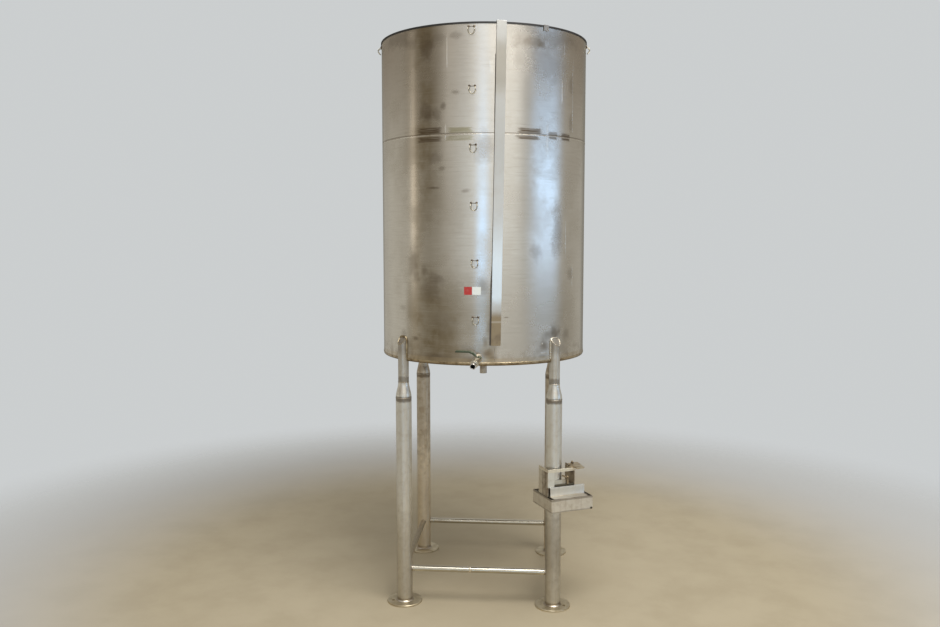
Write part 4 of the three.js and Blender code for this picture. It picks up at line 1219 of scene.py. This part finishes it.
for side, (first, second) in RAIL_ENDS.items():
    node = f"rail_{side}"
    low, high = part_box(node)
    height = (low.z + high.z) / 2
    start = np.array([*leg_centres[first], height])
    end = np.array([*leg_centres[second], height])
    along = unit(end - start)
    begin = start + along * (PIPE_RADIUS - RAIL_SINK)
    finish_at = end - along * (PIPE_RADIUS - RAIL_SINK)
    path = np.linspace(begin, finish_at, 12)
    points, faces = swept(path, RAIL_RADIUS, 40)
    rail_finish = DULL_RAIL if side in ("left", "right") else RAIL_STEEL
    piece_from(f"rail_pipe_{side}", points, faces, rail_finish, replaces=[node])
    inset = (PIPE_RADIUS + COLLAR_GAP) / np.linalg.norm(end - start)
    grids = [collar(start, end, share, RAIL_RADIUS, COLLAR_HALF) for share in (inset, 1 - inset)]
    points, faces = joined_grids(grids)
    piece_from(f"rail_welds_{side}", points, faces, WELD_METAL, sharp=COLLAR_SHARP)
    if side == "front":
        points, faces = collar(start, end, FRONT_RAIL_JOINT, RAIL_RADIUS, JOINT_HALF)
        piece_from("rail_middle_weld", points, faces, BRIGHT_BEAD, sharp=COLLAR_SHARP)
print("rails", len(RAIL_ENDS), "of radius", RAIL_RADIUS)

# %% [markdown]
# ## Drain valve
# The drain is a short pipe welded to the wall, a ball valve and a cut-off spout whose mouth looks
# black from the front. The lever's joint in the frame gives the stem's place and direction, and the
# flow runs square to it. Pipes are turned anew round the flow's line, the spout with a bore about a
# millimetre wider than its solid's, because its rim is thin. The valve's body and lever are copies
# of their solids with rounded edges, and the stem is a smoothed copy. Only the lever and the stem
# ride on the moving body.

# %% Nozzle, body, spout, stem and lever
hinge = frame["joints"][0]
STEM_FOOT = np.array(hinge["pos_m"], float)
STEM_AXIS = unit(np.array(hinge["axis"], float))
SPOUT_AIM = np.array([-0.1562, -0.9645, -0.2130])
FLOW = unit(SPOUT_AIM - STEM_AXIS * np.dot(SPOUT_AIM, STEM_AXIS))
NOZZLE_START, NOZZLE_END = -0.078, -0.0323
SPOUT_START, SPOUT_END = 0.0323, 0.0627
DRAIN_RADIUS, DRAIN_BORE = 0.0167, 0.012
SPOUT_BORE = 0.0131
LINING_OUTSIDE, LINING_INSIDE = SPOUT_BORE - 0.0002, SPOUT_BORE - 0.0012
LINING_BACK, LINING_MOUTH = SPOUT_START + 0.002, SPOUT_END - 0.002
DRAIN_COLUMNS = 40
WALL_MEETS_FLOW = -0.0723


def flow_spokes(turn):
    """Unit vectors square to the flow: cos t times the side plus sin t times the stem's direction."""
    return np.cos(turn)[:, None] * np.cross(FLOW, STEM_AXIS) + np.sin(turn)[:, None] * STEM_AXIS


def along_flow(profile):
    """A closed profile of (radius, distance from the stem along the flow) turned round the flow's line."""
    profile = np.asarray(profile, float)
    spokes = flow_spokes(np.linspace(0, 2 * np.pi, DRAIN_COLUMNS, endpoint=False))
    points = STEM_FOOT + profile[:, 1][:, None, None] * FLOW + profile[:, 0][:, None, None] * spokes
    return points, grid_faces(len(profile), DRAIN_COLUMNS, wrap_rows=True)


points, faces = along_flow([
    (DRAIN_BORE, NOZZLE_START), (DRAIN_RADIUS, NOZZLE_START),
    (DRAIN_RADIUS, NOZZLE_END), (DRAIN_BORE, NOZZLE_END),
])
piece_from("drain_pipe", points, faces, PICKLED_PIPE, replaces=["drain_nozzle"])
points, faces = along_flow([
    (SPOUT_BORE, SPOUT_START), (DRAIN_RADIUS, SPOUT_START), (DRAIN_RADIUS, SPOUT_END - 0.001),
    (DRAIN_RADIUS - 0.001, SPOUT_END), (SPOUT_BORE + 0.0005, SPOUT_END), (SPOUT_BORE, SPOUT_END - 0.0005),
])
piece_from("spout_pipe", points, faces, POLISHED, replaces=["drain_spout"])
# A near-black lining in the spout's bore paints the shade inside its mouth.
points, faces = along_flow([
    (0.0, LINING_BACK), (LINING_OUTSIDE, LINING_BACK), (LINING_OUTSIDE, LINING_MOUTH),
    (LINING_INSIDE, LINING_MOUTH), (LINING_INSIDE, SPOUT_START + 0.003), (0.0, SPOUT_START + 0.003),
])
piece_from("spout_shade_lining", points, faces, DARK_MOUTH)
refined_copy("drain_valve_body", "valve_body", VALVE_STEEL, 0.0006)
refined_copy("drain_valve_stem", "valve_stem", VALVE_STEEL, 0.0, LEVER)
refined_copy("drain_valve_lever", "valve_lever", GREEN_GRIP, 0.0010, LEVER)

# The drain's weld: a ring round the nozzle, moved in or out in plan until it lies on the wall.
nozzle_foot = STEM_FOOT + FLOW * WALL_MEETS_FLOW
ring = nozzle_foot + (DRAIN_RADIUS + 0.002) * flow_spokes(np.linspace(0, 2 * np.pi, 60))
reach = np.hypot(ring[:, 0] - AXIS_X, ring[:, 1] - AXIS_Y)
ring[:, :2] = np.array(AXIS) + (ring[:, :2] - np.array(AXIS)) * ((RADIUS + 0.0005) / reach)[:, None]
bead("drain_weld", ring, 0.0035, STAINED_BAR, ripple=0.15, pitch=0.007)
print("stem at", np.round(STEM_FOOT, 3), "flow", np.round(FLOW, 3))

# %% [markdown]
# ## Bracket on the front right leg
# The bracket is an open cage of flat bars over a folded channel and a tray, all turned a little
# round the leg. The bars are copies of their solids with rounded edges. The side post is an angle,
# pale on its rear flange and darkened on its side by painted shade and stain runs, so its finish
# goes by the distance to the back. Nuts on the two studs, a bolt with its washer bar, a nub on the
# tray's corner and a dark bead that paints the shadow in the gap behind the channel are added here,
# placed by the bracket's own turned directions.

# %% Bars, channel, tray and small fastenings
BRACKET_TURN = math.radians(26)
bracket_centre = np.array(leg_centres["front_right"])
BRACKET_X = np.array([math.cos(BRACKET_TURN), math.sin(BRACKET_TURN)])
BRACKET_Y = np.array([-math.sin(BRACKET_TURN), math.cos(BRACKET_TURN)])


def bracket_point(right, back, height):
    """A point given along the bracket's front, to its back and up, in metres from the leg's axis."""
    x, y = bracket_centre + right * BRACKET_X + back * BRACKET_Y
    return np.array([x, y, height])


def side_post_steel():
    """Steel by the distance to the bracket's back: pale on the rear flange, darkened on the side by painted
    shade and stain runs.
    """
    made, graph, shader = new_material("side_post")
    place = graph.place()
    away = graph.vector("SUBTRACT", place, (bracket_centre[0], bracket_centre[1], 0.0))
    turned_back = {0: away, 1: (BRACKET_Y[0], BRACKET_Y[1], 0.0)}
    back = graph.add("ShaderNodeVectorMath", turned_back, operation="DOT_PRODUCT").outputs["Value"]
    cloud = clouds(graph, BLOTCHES, place, 26.0, 0.4, 0.7)
    run = clouds(graph, STREAKS, place, 70.0, 0.45, 0.7)
    # The side's grey to brown is painted shade with stain runs; the rear flange is cream.
    grey, brown = colour(0.54, 0.49, 0.41), colour(0.22, 0.165, 0.10)
    side = graph.mix(graph.times(cloud, 0.8), grey, brown)
    side = graph.mix(graph.times(run, 0.5), side, colour(0.10, 0.08, 0.06))
    cream, straw = colour(0.70, 0.66, 0.56), colour(0.36, 0.28, 0.18)
    flange = graph.mix(graph.times(cloud, 0.4), cream, straw)
    tone = graph.mix(graph.span(back, 0.012, 0.022), side, flange)
    link(graph, shader, Base_Color=tone, Roughness=graph.span(cloud, 0.0, 1.0, 0.40, 0.52))
    shader.inputs["Metallic"].default_value = 1.0
    return made


CAGE_FINISHES = {
    "floor": TRAY_SHEET, "front_post": CLEAN_POST, "rear_post": side_post_steel(), "clamp_bar": PALE_BAR,
    "side_plate": BROWN_PLATE, "top_bars": CREAM_BAR, "ear": STRAW_PLATE,
}
for name, finish in CAGE_FINISHES.items():
    refined_copy(f"bracket_{name}", f"cage_{name}", finish, 0.0008)
refined_copy("bracket_channel", "folded_channel", BRIGHT_SHEET, 0.0008)
refined_copy("bracket_tray", "small_tray", TRAY_SHEET, 0.0008)
NUT_SHARP = math.radians(25)


def hexagon_nut(centre, direction, radius, thickness):
    """A six-sided ring, closed at both ends: corners at radius r round a direction, a thickness apart."""
    direction = np.asarray(direction, float)
    side = unit(np.cross(direction, [0.3, 0.9, 0.1]))
    other = np.cross(direction, side)
    turn = np.linspace(0, 2 * np.pi, 6, endpoint=False)
    spoke = np.cos(turn)[:, None] * side + np.sin(turn)[:, None] * other
    rows = [(0.0, 0.0), (radius * 0.92, 0.0), (radius, 0.1), (radius, 0.9), (radius * 0.92, 1.0), (0.0, 1.0)]
    points = np.stack([centre + direction * share * thickness + reach * spoke for reach, share in rows])
    return points, grid_faces(len(rows), 6)


EAR_THICKNESS = 0.006
ear_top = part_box("bracket_ear")[0].z + EAR_THICKNESS
STUDS = [(0.079, -0.034), (0.119, 0.004)]
NUT_RADIUS, NUT_THICKNESS = 0.0090, 0.0065
nut_places = [bracket_point(right, back, ear_top + 0.0005) for right, back in STUDS]
nuts = [hexagon_nut(place, UP, NUT_RADIUS, NUT_THICKNESS) for place in nut_places]
points, faces = joined_grids(nuts)
piece_from("stud_nuts", points, faces, DARK_WELD, sharp=NUT_SHARP)

# A bolt lies across the cage in front of the clamp bar, and its washer bar hangs from its right end.
BOLT_LEFT, BOLT_RIGHT = (0.024, -0.0600, 0.7690), (0.052, -0.0600, 0.7570)
BAR_TOP, BAR_FOOT = (0.057, -0.0600, 0.7560), (0.057, -0.0600, 0.7200)
BOLT_RADIUS, BAR_RADIUS = 0.0045, 0.0066
bolt_path = np.linspace(bracket_point(*BOLT_LEFT), bracket_point(*BOLT_RIGHT), 6)
bar_path = np.linspace(bracket_point(*BAR_TOP), bracket_point(*BAR_FOOT), 6)
head = hexagon_nut(bracket_point(*BOLT_RIGHT), np.array([*BRACKET_X, 0.0]), 0.0085, 0.007)
points, faces = joined_grids([swept(bolt_path, BOLT_RADIUS, 12), swept(bar_path, BAR_RADIUS, 12), head])
piece_from("cage_bolt", points, faces, BOLT_BROWN, sharp=NUT_SHARP)

# A nub on the tray's right corner, and a dark bead of painted shadow in the gap behind the channel.
NUB_PLACE = (0.1790, -0.1140, 0.5840)
GAP_LEFT, GAP_RIGHT = (-0.0220, -0.0570, 0.7140), (0.0990, -0.0570, 0.7140)
corner_nub = hexagon_nut(bracket_point(*NUB_PLACE), -np.array([*BRACKET_Y, 0.0]), 0.0065, 0.004)
gap_path = np.linspace(bracket_point(*GAP_LEFT), bracket_point(*GAP_RIGHT), 10)
points, faces = joined_grids([corner_nub, swept(gap_path, 0.0058, 10)])
piece_from("tray_nub_and_gap_shadow", points, faces, DARK_GAP, sharp=NUT_SHARP)
print("bracket stands", [round(value, 3) for value in bracket_point(0, 0, 0.7)])

# %% [markdown]
# ## Floor, light and camera
# The stage is a plain pale floor that fades to the pale surround, so it looks the same from any
# side. The light is soft. Polished steel shows what stands round it, so the surround holds a few large
# soft panels: a cool one on the right, a small one in front, and calm, dim places between them, as in
# a room with windows. The panels are drawn in the world by azimuth and elevation.

# %% Floor
FLOOR_NEAR = colour(0.41, 0.355, 0.25)
FLOOR_WORN = colour(0.29, 0.24, 0.155)
FLOOR_FAR = colour(0.49, 0.495, 0.49)
FADE_START = 2.9
FADE_END = 4.7


def pale_floor():
    """A disc of rings round the tank, flat at height zero, matt, darker under the tank by a painted shadow,
    fading to nothing at its rim.
    """
    rings = [(radius, 0.0) for radius in (0.0, 1.0, 2.0, FADE_START, FADE_END + 0.2)]
    points, faces = turned(rings, AXIS, 96, closed=False)
    mesh = bpy.data.meshes.new("floor")
    mesh.from_pydata(points.reshape(-1, 3).tolist(), [], faces.tolist())
    floor = bpy.data.objects.new("floor", mesh)
    bpy.context.scene.collection.objects.link(floor)
    made, graph, shader = new_material("pale_floor")
    place = graph.place()
    centred = graph.centred(place)
    away = graph.length(centred)
    cloud = clouds(graph, BLOTCHES, centred, 2.4, 0.35, 0.7)
    near = graph.mix(graph.times(cloud, 0.35), FLOOR_NEAR, FLOOR_WORN)
    # Painted shadow: the floor darkens within about a metre of the tank's axis.
    under = graph.span(graph.plus(away, graph.times(cloud, 0.2)), 0.3, 1.1, 0.4, 0.0)
    near = graph.mix(under, near, FLOOR_WORN)
    shown = graph.span(away, FADE_START, FADE_END, 1.0, 0.0)
    pebble = graph.noise(centred, 60.0, 4.0)
    bump = graph.bump(pebble, 0.3, 0.002)
    faded = graph.mix(graph.span(away, 1.8, FADE_START + 0.5), near, FLOOR_FAR)
    link(graph, shader, Base_Color=faded, Alpha=shown, Normal=bump)
    shader.inputs["Roughness"].default_value = 0.75
    mesh.materials.append(made)
    return floor


pale_floor()
print("floor fades from", FADE_START, "to", FADE_END)


# %% Surround with soft panels
PANEL_INPUTS = ["Azimuth", "Elevation", "Centre", "Half width", "Low", "High", "Softness", "Fade"]


def panel_group():
    """A soft-edged panel: one within half a width of its azimuth and between two elevations, else zero."""
    inputs = [(name, "value") for name in PANEL_INPUTS]
    tree, graph, start, end = new_group("soft_panel", inputs, [("Mask", "value")])
    away = graph.apart(start["Azimuth"], start["Centre"])
    inner = graph.minus(start["Half width"], start["Softness"])
    outer = graph.plus(start["Half width"], start["Softness"])
    across = graph.span(away, inner, outer, 1.0, 0.0)
    above = graph.span(start["Elevation"], graph.minus(start["Low"], start["Fade"]), start["Low"])
    top = graph.plus(start["High"], start["Fade"])
    below = graph.span(start["Elevation"], start["High"], top, 1.0, 0.0)
    graph.tree.links.new(graph.times(across, graph.times(above, below)), end["Mask"])
    return tree


# Panels: azimuth, half width, low and high elevation, softness, fade in degrees, colour, strength.
PANELS = [
    (77.0, 17.0, 1.8, 4.6, 11.0, 3.2, colour(0.40, 0.64, 1.0), 3.3),
    (2.0, 5.0, -2.3, 0.6, 4.5, 2.6, colour(0.20, 0.52, 1.0), 3.8),
    (105.0, 10.0, 4.5, 8.5, 7.0, 2.0, colour(0.95, 1.0, 1.0), 0.10),
    (17.0, 26.0, 4.0, 32.0, 9.0, 5.0, colour(1.0, 0.98, 0.93), 0.38),
    (3.0, 44.0, 8.0, 45.0, 6.0, 4.0, colour(1.0, 0.98, 0.93), 0.26),
    (15.0, 40.0, -1.0, 6.5, 12.0, 5.5, colour(0.84, 1.0, 1.16), 0.34),
    (-79.0, 3.5, 0.5, 5.0, 2.5, 3.0, colour(1.0, 0.84, 0.66), 1.3),
    (-100.0, 30.0, -9.0, 7.0, 12.0, 4.0, colour(1.0, 0.98, 0.86), 0.10),
    (184.0, 9.0, -20.0, 30.0, 5.0, 8.0, colour(0.95, 0.98, 1.0), 0.34),
    (-180.0, 9.0, -20.0, 30.0, 5.0, 8.0, colour(0.95, 0.98, 1.0), 0.40),
]
SURROUND = colour(0.48, 0.458, 0.405)
CEILING = colour(0.25, 0.205, 0.155)
OVERHEAD = colour(0.60, 0.59, 0.56)
BEHIND = colour(0.25, 0.24, 0.21)
BACKGROUND = colour(0.60, 0.62, 0.625)


def studio_surround():
    """Calm light below, dim above eye height, plus each panel; the camera sees a plain pale tone."""
    world = bpy.data.worlds.new("studio")
    world.use_nodes = True
    bpy.context.scene.world = world
    graph = Graph(world.node_tree)
    backdrop = world.node_tree.nodes["Background"]
    direction = graph.add("ShaderNodeTexCoord").outputs["Generated"]
    split = graph.split(direction)
    azimuth = graph.azimuth(split)
    elevation = graph.times(graph.math("ARCSINE", split["Z"]), 180 / math.pi)
    light = graph.mix(graph.span(elevation, 4.0, 12.0), SURROUND, CEILING)
    light = graph.mix(graph.span(graph.math("ABSOLUTE", azimuth), 146.0, 160.0), light, BEHIND)
    light = graph.mix(graph.span(elevation, 30.0, 45.0), light, OVERHEAD)
    group = panel_group()
    for *shape, tone, strength in PANELS:
        values = dict(zip(PANEL_INPUTS, [azimuth, elevation, *shape]))
        mask = placed(graph, group, values)["Mask"]
        glow = colour(*(part * strength for part in tone[:3]))
        light = graph.mix(mask, light, glow, "ADD")
    seen = graph.add("ShaderNodeLightPath").outputs["Is Camera Ray"]
    graph.tree.links.new(graph.mix(seen, light, BACKGROUND), backdrop.inputs["Color"])
    return world


studio_surround()
print("panels", len(PANELS))


# %% Overhead soft lights
def soft_light(name, place, aim, size, power, tone):
    """A large square area light at a place, turned to an aim point."""
    data = bpy.data.lights.new(name, "AREA")
    data.shape = "SQUARE"
    data.size = size
    data.energy = power
    data.color = tone
    lamp = bpy.data.objects.new(name, data)
    bpy.context.scene.collection.objects.link(lamp)
    lamp.location = place
    lamp.rotation_mode = "QUATERNION"
    lamp.rotation_quaternion = (Vector(aim) - Vector(place)).to_track_quat("-Z", "Y")
    return lamp


soft_light("overhead", (1.9, -2.4, 6.6), (0.0, 0.0, 1.0), 3.6, 330.0, (1.0, 0.98, 0.95))
soft_light("front_fill", (0.2, -4.6, 8.2), (0.0, 0.0, 0.8), 3.2, 150.0, (0.97, 0.98, 1.0))
print("lights", [lamp.name for lamp in bpy.data.lights])

# %% [markdown]
# ## Camera
# The camera stands a little right of the tank's front, 2.1 metres up, and looks slightly down and
# left. Its turn and its lens come from fitting the tank's rim, seam, feet and rails to their
# places in the photograph.

# %% Camera at the photograph's view
CAMERA_PLACE = (0.33636, -5.27293, 2.11205)
CAMERA_YAW = -0.0790
CAMERA_PITCH = 0.0909
CAMERA_LENS = 33.53


def photo_camera():
    """The turn's columns are right, up and back; forward is (sin y cos p, cos y cos p, -sin p)."""
    data = bpy.data.cameras.new("photo_camera")
    data.sensor_width = 36.0
    data.lens = CAMERA_LENS
    data.clip_end = 200.0
    camera = bpy.data.objects.new("photo_camera", data)
    bpy.context.scene.collection.objects.link(camera)
    forward = Vector((
        math.sin(CAMERA_YAW) * math.cos(CAMERA_PITCH),
        math.cos(CAMERA_YAW) * math.cos(CAMERA_PITCH),
        -math.sin(CAMERA_PITCH),
    ))
    right = Vector((math.cos(CAMERA_YAW), -math.sin(CAMERA_YAW), 0))
    up = right.cross(forward)
    turn = Matrix((right, up, -forward)).transposed().to_4x4()
    place = Vector((CAMERA_PLACE[0] + AXIS_X, CAMERA_PLACE[1] + AXIS_Y, CAMERA_PLACE[2]))
    camera.matrix_world = Matrix.Translation(place) @ turn
    bpy.context.scene.camera = camera
    return camera


photo_camera()
bpy.context.scene.view_settings.view_transform = "Standard"
print("camera at", [round(value, 3) for value in bpy.context.scene.camera.matrix_world.translation])
